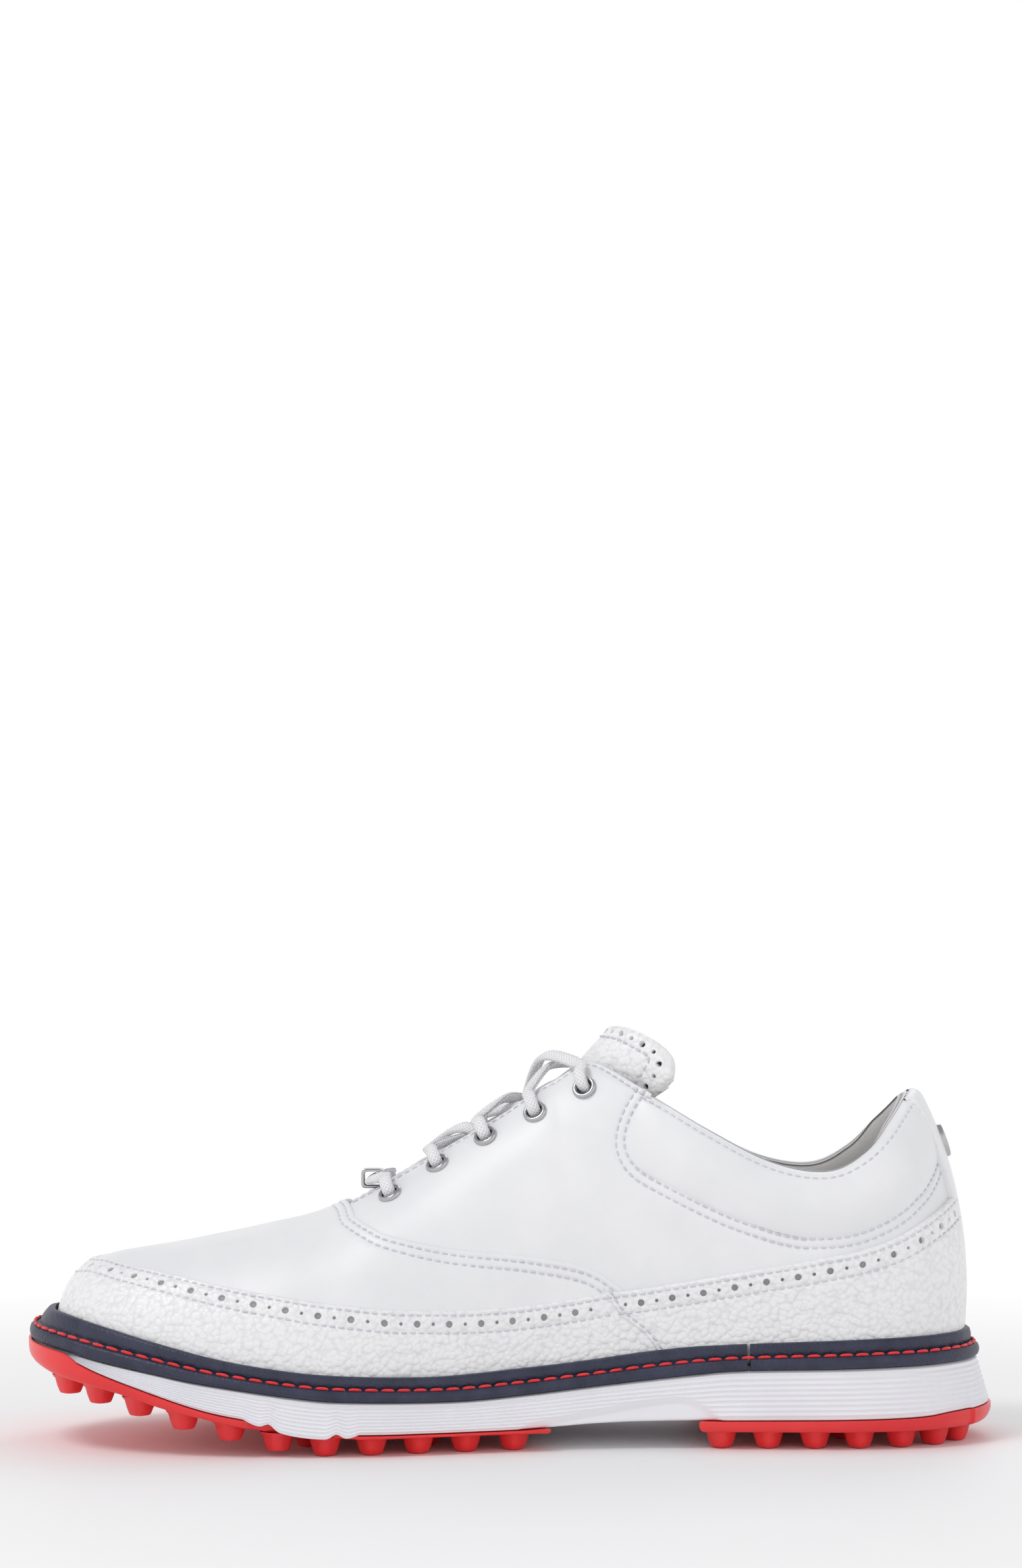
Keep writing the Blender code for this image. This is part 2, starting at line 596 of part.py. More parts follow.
def build_sole():
    sole_plate("outsole_forefoot", FOREFOOT_PLATE, lug_positions(FOREFOOT_LUG_ROW, FOREFOOT_LUGS))
    sole_plate("outsole_heel", HEEL_PLATE, lug_positions(HEEL_LUG_ROW, HEEL_LUGS))
    slab("midsole", [loop_points(flare_offset(-MIDSOLE_SET_BACK), profile(MIDSOLE_BOTTOM)),
                     loop_points(-MIDSOLE_TOP_INSET, profile(WELT_BOTTOM, -GAP))], "midsole_white")
    build_welt()
    filler = inner_layer("bottom_filler", BOARD_INSET, FILLER, "foam")
    box_cut(filler, *SHANK_SLOT)
    inner_layer("insole_board", BOARD_INSET, BOARD, "fibre_board")
    inner_layer("sockliner", SOCKLINER_INSET, SOCKLINER, "lining_leather")
    build_shank()


def build_shank():
    """Steel shank in the slot of the filler, following the waist of the sole."""
    floor = profile(WELT_BOTTOM)
    vertices, faces = [], []
    for x in np.linspace(*SHANK_X, SHANK_SPANS + 1):
        for y, z in ((SHANK_Y[0], SHANK_Z[0]), (SHANK_Y[1], SHANK_Z[0]), (SHANK_Y[1], SHANK_Z[1]),
                     (SHANK_Y[0], SHANK_Z[1])):
            vertices.append((x, y, floor(x) + z))
    for i in range(SHANK_SPANS):
        for k in range(4):
            faces.append((4 * i + k, 4 * i + (k + 1) % 4, 4 * i + 4 + (k + 1) % 4, 4 * i + 4 + k))
    faces += [(0, 1, 2, 3), tuple(4 * SHANK_SPANS + k for k in range(4))]
    make_object("shank", vertices, faces, "steel")


# ---------------------------------------------------------------- the upper
def shell(name, layer, material_name):
    """The whole upper as one layer, from the feather edge to the ridge and the top line."""
    rows = [[upper_point(path, s, v) for path, s in RING] for v in HEIGHT_FRACTIONS]
    length = len(RING)
    base = bmesh.new()
    grid = [[base.verts.new(Vector(p) * MM) for p in row] for row in rows]
    for low, high in zip(grid, grid[1:]):
        for i in range(length):
            j = (i + 1) % length
            base.faces.new((low[i], low[j], high[j], high[i]))
    bmesh.ops.remove_doubles(base, verts=base.verts, dist=1e-5)
    bmesh.ops.recalc_face_normals(base, faces=base.faces)
    bmesh.ops.triangulate(base, faces=base.faces)
    base.normal_update()
    base.verts.index_update()
    outward = 1 if sum(v.normal.z for v in base.verts if v.co.z > 0.05) > 0 else -1
    normals = {v.index: v.normal * outward for v in base.verts}
    count = len(base.verts)
    vertices = [(v.co + normals[v.index] * layer[0] * MM) / MM for v in base.verts]
    vertices += [(v.co + normals[v.index] * layer[1] * MM) / MM for v in base.verts]
    faces = []
    for face in base.faces:
        corners = [v.index for v in face.verts]
        faces.append(tuple(corners))
        faces.append(tuple(i + count for i in reversed(corners)))
    for edge in base.edges:
        if len(edge.link_faces) == 1:
            a, b = (v.index for v in edge.verts)
            faces.append((a, b, b + count, a + count))
    base.free()
    return make_object(name, vertices, faces, material_name)


def below(edge):
    """Outline of everything under a line that runs from front to back."""
    return list(edge) + [(-FAR, edge[-1][1]), (-FAR, DEEP), (FAR, DEEP), (FAR, edge[0][1])]


def behind(seam):
    """Outline of everything behind a line that runs from top to bottom."""
    return list(seam) + [(seam[-1][0], DEEP), (-FAR, DEEP), (-FAR, HIGH), (seam[0][0], HIGH)]


def ahead(seam):
    """Outline of everything ahead of a line that runs from top to bottom."""
    return list(seam) + [(seam[-1][0], DEEP), (FAR, DEEP), (FAR, HIGH), (seam[0][0], HIGH)]


def punch(target, side, radius):
    """Punches the eyelet holes of one side."""
    path = MEDIAL if side > 0 else LATERAL
    vertices, faces = [], []
    for x, z in EYELETS:
        centre, normal, across, heelward = surface_frame(path, *locate(path, x, z))
        start = len(vertices)
        for depth in (-PUNCH_REACH, PUNCH_REACH):
            for k in range(PUNCH_SIDES):
                angle = 2 * math.pi * k / PUNCH_SIDES
                ray = math.cos(angle) * across + math.sin(angle) * heelward
                vertices.append(centre + depth * normal + radius * ray)
        for k in range(PUNCH_SIDES):
            j = (k + 1) % PUNCH_SIDES
            faces.append((start + k, start + j, start + PUNCH_SIDES + j, start + PUNCH_SIDES + k))
        faces.append(tuple(start + k for k in range(PUNCH_SIDES)))
        faces.append(tuple(start + PUNCH_SIDES + k for k in range(PUNCH_SIDES)))
    apply_boolean(target, make_object("punch", vertices, faces, "steel"), "DIFFERENCE")


def cut_slot(target, half_width):
    """Opens the gap between the two facings."""
    box_cut(target, (-0.5 * FAR, -half_width, SLOT_FLOOR), (THROAT_X, half_width, HIGH))


def build_upper():
    vamp = shell("vamp", LEATHER, "smooth_leather")
    side_cut(vamp, ahead(VAMP_SEAM))

    for side, label in ((1, "medial"), (-1, "lateral")):
        quarter = shell("quarter_" + label, LEATHER, "smooth_leather")
        side_cut(quarter, behind(shifted(VAMP_SEAM, -SEAM_GAP)), side)
        side_cut(quarter, COLLAR_EDGE, 0, "DIFFERENCE")
        cut_slot(quarter, SLOT_HALF_WIDTH)
        punch(quarter, side, PUNCHED_HOLE)

        panel = shell("collar_panel_" + label, LEATHER, "smooth_leather")
        side_cut(panel, inner_outline(COLLAR_EDGE, SEAM_GAP), side)
        padding = shell("collar_foam_" + label, FOAM, "foam")
        side_cut(padding, inner_outline(COLLAR_EDGE, FOAM_SEAM_GAP), side)

        lining = shell("quarter_lining_" + label, LINING, "lining_leather")
        side_cut(lining, behind(LINING_FRONT), side)

        stay = shell("eyelet_stay_" + label, STIFFENER, "stiffener")
        side_cut(stay, STAY_FOOT, side)
        cut_slot(stay, SLOT_HALF_WIDTH + STAY_SET_BACK)
        punch(stay, side, PUNCHED_HOLE)

        guard = shell("mudguard_rear_" + label, OVERLAY, "pebbled_leather")
        side_cut(guard, below(OVERLAY_EDGE), side)
        side_cut(guard, behind(shifted(OVERLAY_SEAM, -SEAM_GAP)), side)
        edge = STRIP_HALF_WIDTH + SEAM_GAP
        box_cut(guard, (-FAR, -edge, DEEP), (STRIP_FRONT, edge, HIGH))

    guard = shell("mudguard_front", OVERLAY, "pebbled_leather")
    side_cut(guard, below(OVERLAY_EDGE))
    side_cut(guard, ahead(OVERLAY_SEAM))

    strip = shell("back_strip", OVERLAY, "smooth_leather")
    box_cut(strip, (-FAR, -STRIP_HALF_WIDTH, DEEP), (STRIP_FRONT, STRIP_HALF_WIDTH, HIGH), "INTERSECT")

    lining = shell("vamp_lining", LINING, "lining_leather")
    side_cut(lining, VAMP_LINING_EDGE)

    puff = shell("toe_puff", STIFFENER, "stiffener")
    side_cut(puff, ahead([(TOE_PUFF_BACK, HIGH), (TOE_PUFF_BACK, DEEP)]))
    counter = shell("heel_counter", STIFFENER, "stiffener")
    side_cut(counter, COUNTER_EDGE)


def inner_outline(outline, distance):
    """The outline moved inwards, towards its middle."""
    points = np.array(outline, float)
    centre = points.mean(axis=0)
    moved = []
    for i, point in enumerate(points):
        run = points[(i + 1) % len(points)] - points[i - 1]
        normal = np.array([-run[1], run[0]]) / np.linalg.norm(run)
        if normal.dot(centre - point) < 0:
            normal = -normal
        moved.append(tuple(point + distance * normal))
    return moved


# ---------------------------------------------------------------- eyelets, lace and keeper
def turned(name, centre, axis, across, outline, segments, material_name):
    """Solid of revolution: a closed (radius, height) outline turned about an axis."""
    third = np.cross(axis, across)
    vertices, faces = [], []
    count = len(outline)
    for k in range(segments):
        angle = 2 * math.pi * k / segments
        ray = math.cos(angle) * across + math.sin(angle) * third
        vertices += [centre + radius * ray + height * axis for radius, height in outline]
    for k in range(segments):
        start, following = k * count, (k + 1) % segments * count
        for i in range(count):
            j = (i + 1) % count
            faces.append((start + i, start + j, following + j, following + i))
    return make_object(name, vertices, faces, material_name)


def eyelet_places():
    """Path, s and v of every eyelet, by side and number."""
    return {(label, k): (path, *locate(path, x, z))
            for path, label in ((MEDIAL, "medial"), (LATERAL, "lateral"))
            for k, (x, z) in enumerate(EYELETS)}


def build_eyelets(places):
    for (label, k), place in places.items():
        centre, normal, across, _ = surface_frame(*place)
        turned(f"eyelet_{label}_{k + 1}", centre, normal, across, EYELET_SECTION, EYELET_SIDES, "nickel")


def ridge_point(x, rise):
    """Point over the middle of the instep at x, raised along the outward normal."""
    places = np.array([upper_point(MEDIAL, s, 1.0) for s in np.arange(5, 10.01, 0.1)])
    here = np.array([np.interp(-x, -places[:, 0], places[:, k]) for k in range(3)])
    slope = np.interp(-x, -places[:, 0], np.gradient(places[:, 2], places[:, 0]))
    normal = np.array([-slope, 0.0, 1.0]) / math.hypot(slope, 1)
    return here + rise * normal


def through_eyelet(place, upwards):
    """Lace points around the facing at an eyelet, from inside out, or the other way."""
    path, s, v = place
    step = 1e-3
    stretch = np.linalg.norm(upper_point(path, s, v + step) - upper_point(path, s, v)) / step
    points = []
    for rise, reach in LACE_TURN:
        centre, normal, _, _ = surface_frame(path, s, min(v + reach / stretch, 0.985))
        points.append(centre + rise * normal)
    return points if upwards else points[::-1]


def lace_route(places):
    """Centre line of the lace, from one tucked end to the other."""
    other = {"medial": "lateral", "lateral": "medial"}
    halves = []
    for label, strand in (("medial", 0), ("lateral", 1)):
        half = through_eyelet(places[label, 0], False)
        for k in range(1, 4):
            label = other[label]
            here, there = EYELETS[k - 1][0], EYELETS[k][0]
            crossing = FIRST_CROSSING if k == 1 else MIDDLE_CROSSING
            half.append(ridge_point((here + there) / 2, crossing[strand]))
            half += through_eyelet(places[label, k], True)
        label = other[label]
        last_x = (EYELETS[3][0] + EYELETS[4][0]) / 2 + LAST_CROSSING_SHIFT
        half.append(ridge_point(last_x, LAST_CROSSING[strand]))
        half += through_eyelet(places[label, 4], False)[:-2]
        path = MEDIAL if label == "medial" else LATERAL
        for x, z in LACE_TAIL:
            centre, normal, _, _ = surface_frame(path, *locate(path, x, z))
            half.append(centre - LACE_TAIL_DEPTH * normal)
        halves.append(half)
    x, y, z = KEEPER_CENTRE
    bar = [np.array([x, y + reach, z]) for reach in (LACE_BAR_REACH, 0, -LACE_BAR_REACH)]
    return halves[0][::-1] + bar + halves[1]


def thin_out(points, spacing):
    """Smooth curve through the route, read at a spacing that follows its bends."""
    curve = catmull_rom(points, 4)
    kept = [curve[0]]
    for i in range(1, len(curve) - 1):
        before, after = curve[i] - kept[-1], curve[i + 1] - curve[i]
        turn = 1 - before.dot(after) / (np.linalg.norm(before) * np.linalg.norm(after))
        if np.linalg.norm(before) > spacing * (0.5 if turn > 0.02 else 1.0):
            kept.append(curve[i])
    return kept + [curve[-1]]


def tube(name, points, radius, material_name):
    data = bpy.data.curves.new(name, "CURVE")
    data.dimensions = "3D"
    data.bevel_depth = radius * MM
    data.bevel_resolution = 2
    data.use_fill_caps = True
    spline = data.splines.new("POLY")
    spline.points.add(len(points) - 1)
    for target, point in zip(spline.points, points):
        target.co = (*(np.array(point) * MM), 1)
    data.materials.append(material(material_name))
    made = bpy.data.objects.new(name, data)
    bpy.context.collection.objects.link(made)
    return made


def build_lace(places):
    route = thin_out(lace_route(places), LACE_STEP)
    tube("lace", route, LACE_RADIUS, "lace_white")
    for end, before, label in ((route[0], route[1], "lateral"), (route[-1], route[-2], "medial")):
        direction = (end - before) / np.linalg.norm(end - before)
        start = end + GAP * direction
        across = np.cross(direction, (0, 0, 1))
        across /= np.linalg.norm(across)
        third = np.cross(direction, across)
        vertices = []
        for reach in (0, AGLET_LENGTH):
            for k in range(AGLET_SIDES):
                angle = 2 * math.pi * k / AGLET_SIDES
                ray = math.cos(angle) * across + math.sin(angle) * third
                vertices.append(start + reach * direction + AGLET_RADIUS * ray)
        turns = [(k, (k + 1) % AGLET_SIDES) for k in range(AGLET_SIDES)]
        faces = [(k, j, AGLET_SIDES + j, AGLET_SIDES + k) for k, j in turns]
        faces += [tuple(range(AGLET_SIDES)), tuple(range(AGLET_SIDES, 2 * AGLET_SIDES))]
        make_object("aglet_" + label, vertices, faces, "nickel")


def build_keeper():
    """Flat metal band that slides on the lowest bar of the lace."""
    x, y, z = KEEPER_CENTRE
    corners = len(KEEPER_OUTER)
    vertices, faces = [], []
    for reach in (-KEEPER_HALF_LENGTH, KEEPER_HALF_LENGTH):
        vertices += [(x + a, y + reach, z + b) for a, b in KEEPER_OUTER + KEEPER_INNER]
    for i in range(corners):
        j = (i + 1) % corners
        near_in, far_out, far_in = corners, 2 * corners, 3 * corners
        faces += [(i, j, far_out + j, far_out + i), (near_in + i, near_in + j, far_in + j, far_in + i),
                  (i, j, near_in + j, near_in + i), (far_out + i, far_out + j, far_in + j, far_in + i)]
    make_object("lace_keeper", vertices, faces, "nickel", KEEPER_CENTRE)


def build_stud():
    """Plain oval metal stud on the back strip."""
    centre, normal, _, _ = surface_frame(MEDIAL, len(ROWS) - 1.001, STUD_PLACE)
    normal[1] = 0
    normal /= np.linalg.norm(normal)
    sideways = np.array([0.0, 1.0, 0.0])
    upwards = np.cross(sideways, normal)
    vertices = []
    for rise, size in STUD_LEVELS:
        for k in range(STUD_SIDES):
            angle = 2 * math.pi * k / STUD_SIDES
            across = STUD_HALF_SIZE[0] * math.cos(angle) * sideways
            along = STUD_HALF_SIZE[1] * math.sin(angle) * upwards
            vertices.append(centre + rise * normal + size * (across + along))
    last = (len(STUD_LEVELS) - 1) * STUD_SIDES
    faces = stack_faces(len(STUD_LEVELS), STUD_SIDES)
    faces += [tuple(range(STUD_SIDES)), tuple(range(last, last + STUD_SIDES))]
    make_object("heel_stud", vertices, faces, "nickel")


# ---------------------------------------------------------------- the tongue
def tongue_sheet(name, inner, outer, trim, material_name, parent):
    """Layer of the tongue: an arch in section that flares into the free top."""
    rows = catmull_rom(TONGUE, TONGUE_STEPS)
    if trim:
        rows = rows[:-trim]
    angles = np.linspace(-TONGUE_SWEEP, TONGUE_SWEEP, TONGUE_COLUMNS)
    grids = []
    for depth in (inner, outer):
        grid = []
        for i, (x, z, half, fall, way_x, way_z) in enumerate(rows):
            ahead_row, back_row = rows[min(i + 1, len(rows) - 1)], rows[max(i - 1, 0)]
            run = np.array([ahead_row[0] - back_row[0], ahead_row[1] - back_row[1]])
            normal = np.array([run[1], -run[0]]) / np.linalg.norm(run)
            way = np.array([way_x, way_z]) / math.hypot(way_x, way_z)
            line = []
            for angle in angles:
                a, b = half + depth, fall + depth
                drop = b * (1 - math.cos(angle)) * way
                top = np.array([x, z]) + depth * normal
                line.append((top[0] + drop[0], ridge_shift(x) + a * math.sin(angle), top[1] + drop[1]))
            grid.append(line)
        grids.append(grid)
    width, count = len(angles), len(rows)
    vertices = [p for grid in grids for line in grid for p in line]
    half_count = width * count
    faces = []
    for i in range(count - 1):
        for j in range(width - 1):
            cell = (i * width + j, i * width + j + 1, (i + 1) * width + j + 1, (i + 1) * width + j)
            faces.append(cell)
            faces.append(tuple(c + half_count for c in reversed(cell)))
    rim = [j for j in range(width)] + [i * width + width - 1 for i in range(1, count)]
    rim += [(count - 1) * width + j for j in range(width - 2, -1, -1)]
    rim += [i * width for i in range(count - 2, 0, -1)]
    for a, b in zip(rim, rim[1:] + rim[:1]):
        faces.append((a, b, b + half_count, a + half_count))
    return make_object(name, vertices, faces, material_name, TONGUE_PIVOT, parent)


def build_tongue():
    pivot = bpy.data.objects.new("tongue_pivot", None)
    bpy.context.collection.objects.link(pivot)
    pivot.location = np.array(TONGUE_PIVOT) * MM
    bpy.context.view_layer.update()
    tongue_sheet("tongue_face", -TONGUE_LEATHER, 0.0, 0, "pebbled_leather", pivot)
    foam = -TONGUE_LEATHER - GAP
    tongue_sheet("tongue_foam", foam - TONGUE_PAD, foam, 1, "foam", pivot)


def main():
    for old in list(bpy.data.objects):
        bpy.data.objects.remove(old)
    build_sole()
    build_upper()
    places = eyelet_places()
    build_eyelets(places)
    build_lace(places)
    build_keeper()
    build_stud()
    build_tongue()


main()
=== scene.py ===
import math

import bmesh
import bpy
import numpy as np
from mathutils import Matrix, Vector, geometry


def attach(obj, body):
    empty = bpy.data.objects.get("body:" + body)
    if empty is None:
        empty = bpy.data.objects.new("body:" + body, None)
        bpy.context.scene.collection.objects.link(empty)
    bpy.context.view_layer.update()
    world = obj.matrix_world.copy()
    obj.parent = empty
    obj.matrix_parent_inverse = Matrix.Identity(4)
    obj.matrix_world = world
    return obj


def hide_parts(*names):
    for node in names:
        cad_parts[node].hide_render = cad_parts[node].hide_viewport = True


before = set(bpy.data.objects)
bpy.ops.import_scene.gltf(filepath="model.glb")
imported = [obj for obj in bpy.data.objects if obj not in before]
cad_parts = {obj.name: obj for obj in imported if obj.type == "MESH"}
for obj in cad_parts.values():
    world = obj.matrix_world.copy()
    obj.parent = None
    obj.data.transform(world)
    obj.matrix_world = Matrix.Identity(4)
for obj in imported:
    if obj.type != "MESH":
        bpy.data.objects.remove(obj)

# Looks of the laced golf shoe. Lengths are millimetres, and make_mesh turns them into metres. The shoe
# stands on z = 0 with its toe towards +X, and +Y is the side of the arch.
MM = 0.001
CHUNK = 1500
LENS, SENSOR_WIDTH, CAMERA_SHIFT = 65.4, 36.0, 0.151
CAMERA_PLACE = (0.0, 0.90, 0.13)
FLOOR_HALF, FLOOR_HEIGHT = 6.0, -0.0002
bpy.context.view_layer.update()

SIDES = {1: "medial", -1: "lateral"}
FORWARD, SIDEWAYS, UP = np.eye(3)

# ---------------------------------------------------------------- shape that the CAD model shares
TOE_TIP = (150.4, 7.0)
HEEL_TIP = (-147.2, 0.0)
MEDIAL_EDGE = [TOE_TIP, (147, 23), (138, 35.5), (124, 44.5), (104, 50.5), (80, 53), (60, 53.2), (42, 51.2),
               (20, 45.8), (-4, 40), (-30, 36.6), (-55, 35.6), (-80, 36.6), (-104, 36.8), (-125, 32.5),
               (-138.5, 23), (-145.4, 11.5), HEEL_TIP]
LATERAL_EDGE = [TOE_TIP, (149, -4), (141, -18), (127, -32), (108, -42), (85, -49), (60, -52.4), (35, -53.2),
                (10, -52), (-20, -48), (-50, -43.5), (-80, -40.5), (-104, -38.5), (-125, -33),
                (-138.5, -23.5), (-145.4, -12), HEEL_TIP]
PLATE_BOTTOM = [(-151, 7.5), (-146, 5.9), (-135, 5.3), (-110, 5.2), (0, 5.2), (55, 5.2), (66, 6.0), (78, 8.4),
                (92, 11.4), (104, 14.2), (117, 18), (130, 20.8), (140, 22.9), (151, 27)]
MIDSOLE_BOTTOM = [(-151, 11.2), (-135, 10.4), (-118, 9.3), (-50, 8.6), (-27, 8.0), (0, 6.6), (55, 6.9),
                  (75, 10.6), (92, 13.9), (113, 20.5), (124, 24.2), (136, 28.6), (151, 30.6)]
WELT_BOTTOM = [(-148, 25.6), (-105, 24.5), (-70, 23.8), (-56, 22.6), (-30, 19.8), (-4, 17), (17, 15.7),
               (47, 16.3), (62, 17.4), (92, 21.6), (108, 24.6), (124, 27.5), (136, 29.9), (150.4, 32.2)]
WELT_TOP = [(-148, 34), (-105, 32.8), (-62, 31), (-43, 29.3), (-24, 26.7), (-4, 24.6), (22, 22.8), (52, 23.8),
            (70, 25.6), (88, 28.6), (109, 33.6), (124, 37.2), (140, 40.2), (150.4, 41)]
ARCH_FACET = [(-66.5, 6), (-64.6, 9), (-59.8, 13.4), (-54.8, 16), (-49.6, 16.6), (-40.8, 15.7),
              (-26.5, 13.2), (-4.9, 9), (-2, 6)]
FLEX_MIDDLE, FLEX_HALF = 62.5, 17.0
NOTCHES, NOTCH_WIDTH = (72, 52), 1.8
RIBS, RIB_DEPTH = 9.5, 0.42
WELT_STITCH_PITCH = 5.0
WELT_JOINT_X = -72
RIDGE_SHIFT = [(-20, 0), (40, 1.2), (112, 5)]
MIDSOLE_FLARE = [(-151, 4.2), (-140, 3.2), (-115, 1.6), (100, 1.4), (151, 0.5)]
# Lines across the upper: edge x, inset of the feather edge, top point x, half width, z, then the lower
# handle (up, out) and the upper handle (out, up).
STATIONS = [
    (150.4, 10.2, 112.0, 0.0, 57.4, 24.7, -1.4, 14.0, -2.1),
    (143.0, 9.4, 109.0, 0.0, 57.9, 24.0, -1.0, 16.0, -2.0),
    (126.0, 8.6, 103.0, 0.0, 58.9, 23.5, 0.0, 19.0, -1.5),
    (104.0, 8.3, 92.0, 0.0, 61.0, 24.0, 1.5, 23.0, -0.5),
    (80.0, 8.2, 76.0, 0.0, 64.3, 25.0, 2.0, 25.0, 0.0),
    (58.0, 8.2, 57.0, 0.0, 69.3, 27.0, 2.5, 26.0, 0.0),
    (38.0, 8.2, 38.0, 0.0, 80.2, 31.0, 2.5, 26.0, 0.0),
    (18.0, 8.2, 20.0, 0.0, 91.5, 34.0, 2.5, 25.0, 0.0),
    (0.0, 8.3, 3.0, 0.0, 102.0, 37.0, 2.5, 24.0, 0.0),
    (-16.0, 8.4, -13.0, 0.0, 112.4, 38.0, 2.0, 23.0, 0.0),
    (-30.0, 8.5, -25.5, 8.5, 116.3, 38.0, 2.0, 16.0, -6.0),
    (-46.0, 8.6, -41.0, 19.0, 108.6, 34.0, 2.0, 9.0, -11.0),
    (-64.0, 8.7, -60.0, 25.5, 97.2, 29.0, 2.0, 6.0, -14.0),
    (-84.0, 8.7, -80.0, 28.5, 87.0, 25.0, 2.2, 4.0, -14.0),
    (-102.0, 8.8, -97.0, 29.0, 84.3, 24.0, 3.0, 4.0, -13.0),
    (-120.0, 8.9, -109.0, 25.5, 90.0, 25.0, 4.0, 6.0, -14.0),
    (-136.0, 9.0, -118.0, 17.0, 99.8, 28.0, 5.0, 8.5, -16.0),
    (-147.2, 9.0, -125.2, 0.0, 108.2, 31.0, 6.0, 11.0, -18.5),
]
LOOP_STEPS = 40
GAP = 0.3
WELT_RISE = 9.5
OVERLAY_OUT = 2.7
LEATHER_TOP, VAMP_TOP, FRONT_GUARD_TOP, REAR_GUARD_TOP, STRIP_TOP = 1.2, 2.0, 2.9, 3.4, 3.3
LINING_IN, LINING_OUT = -4.8, -3.7

OVERLAY_EDGE = [(124, 53.9), (104.2, 51.2), (83, 47.6), (62.7, 44.7), (42.6, 42.6), (22.5, 42), (2, 42.4),
                (-15.4, 44.5), (-46.4, 49.1), (-72, 53.6), (-102.8, 59.3), (-113.5, 62.2), (-124.6, 67.4),
                (-133.4, 72.5)]
OVERLAY_TOE_HEIGHT = 53.4
OVERLAY_HEEL_HEIGHT = 76.0
OVERLAY_SEAM = [(-28, 48), (-33, 40.4), (-41, 34), (-46, 27), (-50, 22.5)]
VAMP_SEAM = [(51.5, 71.8), (47.9, 68.4), (42.4, 65.8), (36, 63.4), (17.4, 60.1), (-4, 58.1),
             (-22.6, 54.7), (-31.9, 49.6), (-38, 44), (-41, 38)]
COLLAR_EDGE = [(-42.9, 105.7), (-39.6, 100.7), (-37.4, 94.6), (-37.8, 90.3), (-40.3, 86.4),
               (-46.5, 82.5), (-67, 72.5), (-84.6, 66.7), (-92.8, 65.9), (-103, 66.7), (-111.5, 69.5),
               (-119.4, 73.8), (-126.7, 80.1)]
COLLAR_HEEL_HEIGHT = 91.5
COLLAR_START_X = -43.5
FACING_TOP_STATION = 9.9
LINING_FRONT_STATION = 6.0
REAR_GUARD_END = 0.28
THROAT_X = 51.5
SLOT_HALF_WIDTH = 7.0
STRIP_HALF_WIDTH = 8.5

EYELETS = [(37.1, 75.4), (22.4, 84.6), (7.5, 93.2), (-7.9, 100.9), (-23.2, 108.6)]
EYELET_HOLE = 2.3
EYELET_RIM = 3.85
PUNCHED_HOLE = 3.15
KEEPER_CENTRE = (43.5, 0.6, 80.4)
KEEPER_HALF_LENGTH = 4.5
STUD_HEIGHT, STUD_HALF_WIDTH, STUD_HALF_LENGTH = 0.74, 3.4, 5.4
LACE_HALF_WIDTH = 1.95
LACE_HALF_THICKNESS = 1.05
# The lace round a facing: height over the leather and distance from the eyelet towards the slot.
LACE_TURN = [(-3.8, 8.0), (-4.1, 4.4), (-3.6, 1.7), (-1.9, 0.1), (0.4, 0.0), (2.5, 0.2), (4.1, 1.6),
             (4.5, 4.0), (3.4, 8.2)]
LACE_TAIL = [(-24, 100.5), (-14, 95.5), (-2, 89.5), (10, 83), (20, 77.5)]
# Lines across the tongue: x and z of the middle, half width, drop of the arch, and the way it drops.
TONGUE = [
    (47.0, 67.6, 19.0, 13.0, 0.0, -1.0),
    (38.0, 73.2, 17.5, 17.0, 0.0, -1.0),
    (20.0, 84.4, 14.5, 17.0, 0.0, -1.0),
    (3.0, 95.0, 12.0, 19.0, -0.15, -1.0),
    (-12.0, 105.2, 11.5, 24.0, -0.4, -0.95),
    (-22.0, 117.2, 11.0, 28.0, -0.6, -0.8),
    (-31.5, 129.2, 19.0, 34.0, -0.72, -0.69),
]
TONGUE_SWEEP = math.radians(78)
TONGUE_THICKNESS = 5.2
TONGUE_ROLL = 2.4
ARCH_RADIUS = 24.0
FOREFOOT_END, HEEL_START = -12, -57
# Lugs along the edges: first and last x, count and inset, then the lugs in the middle.
FOREFOOT_ROW = (139, -2, 11, 6.2, [(118, 8), (100, 22), (100, -12), (80, 5), (62, 28), (62, -24), (44, 4),
                                  (26, 24), (26, -26), (8, 0)])
HEEL_ROW = (-64, -143, 7, 5.6, [(-84, 0), (-104, 12), (-104, -14), (-124, 0)])

# Scales of the flat coordinates, and details of the visible panels.
A_SCALE, B_SCALE = 20.0, 80.0
SOLE_LINE = 0.02 * B_SCALE
POINT_SPACING = 1.1
PAD_ROLL = 3.6
ROLL_RINGS = (0.12, 0.42, 1.0)
CREASE_RINGS = (-0.75, -0.3, 0, 0.3, 0.75)
CREASE_DEPTH = 0.28
CREASE_WIDTH = 0.5
CREASE_CLEAR, HOLE_CLEAR, EDGE_CLEAR = 1.1, 0.9, 1.25
HOLE_RING = 0.35
VAMP_THREAD, QUARTER_THREAD, COLLAR_THREAD, FRONT_THREAD, REAR_THREAD = 1.83, 1.03, 1.75, 2.68, 3.18
GUARD_ROWS = (1.4, 6.6)
GUARD_HOLES_IN = 4.0
# Lift of the grey sheet under the brogue holes, which is painted shade for the holes.
BROGUE_SHADE_RISE = 2.3
LACE_TAIL_DEPTH = 4.0
CLEAT_HEIGHT = 5.2
PEBBLE_SIZE = 0.0018


# ---------------------------------------------------------------- curves and the upper's surface
def unit(vectors):
    return vectors / np.linalg.norm(vectors, axis=-1, keepdims=True)


def travelled(points):
    """Length run along a polyline up to each of its points."""
    return np.concatenate([[0], np.cumsum(np.linalg.norm(np.diff(points, axis=0), axis=1))])


def table_at(x, xs, columns):
    return np.column_stack([np.interp(x, xs, column) for column in columns.T])


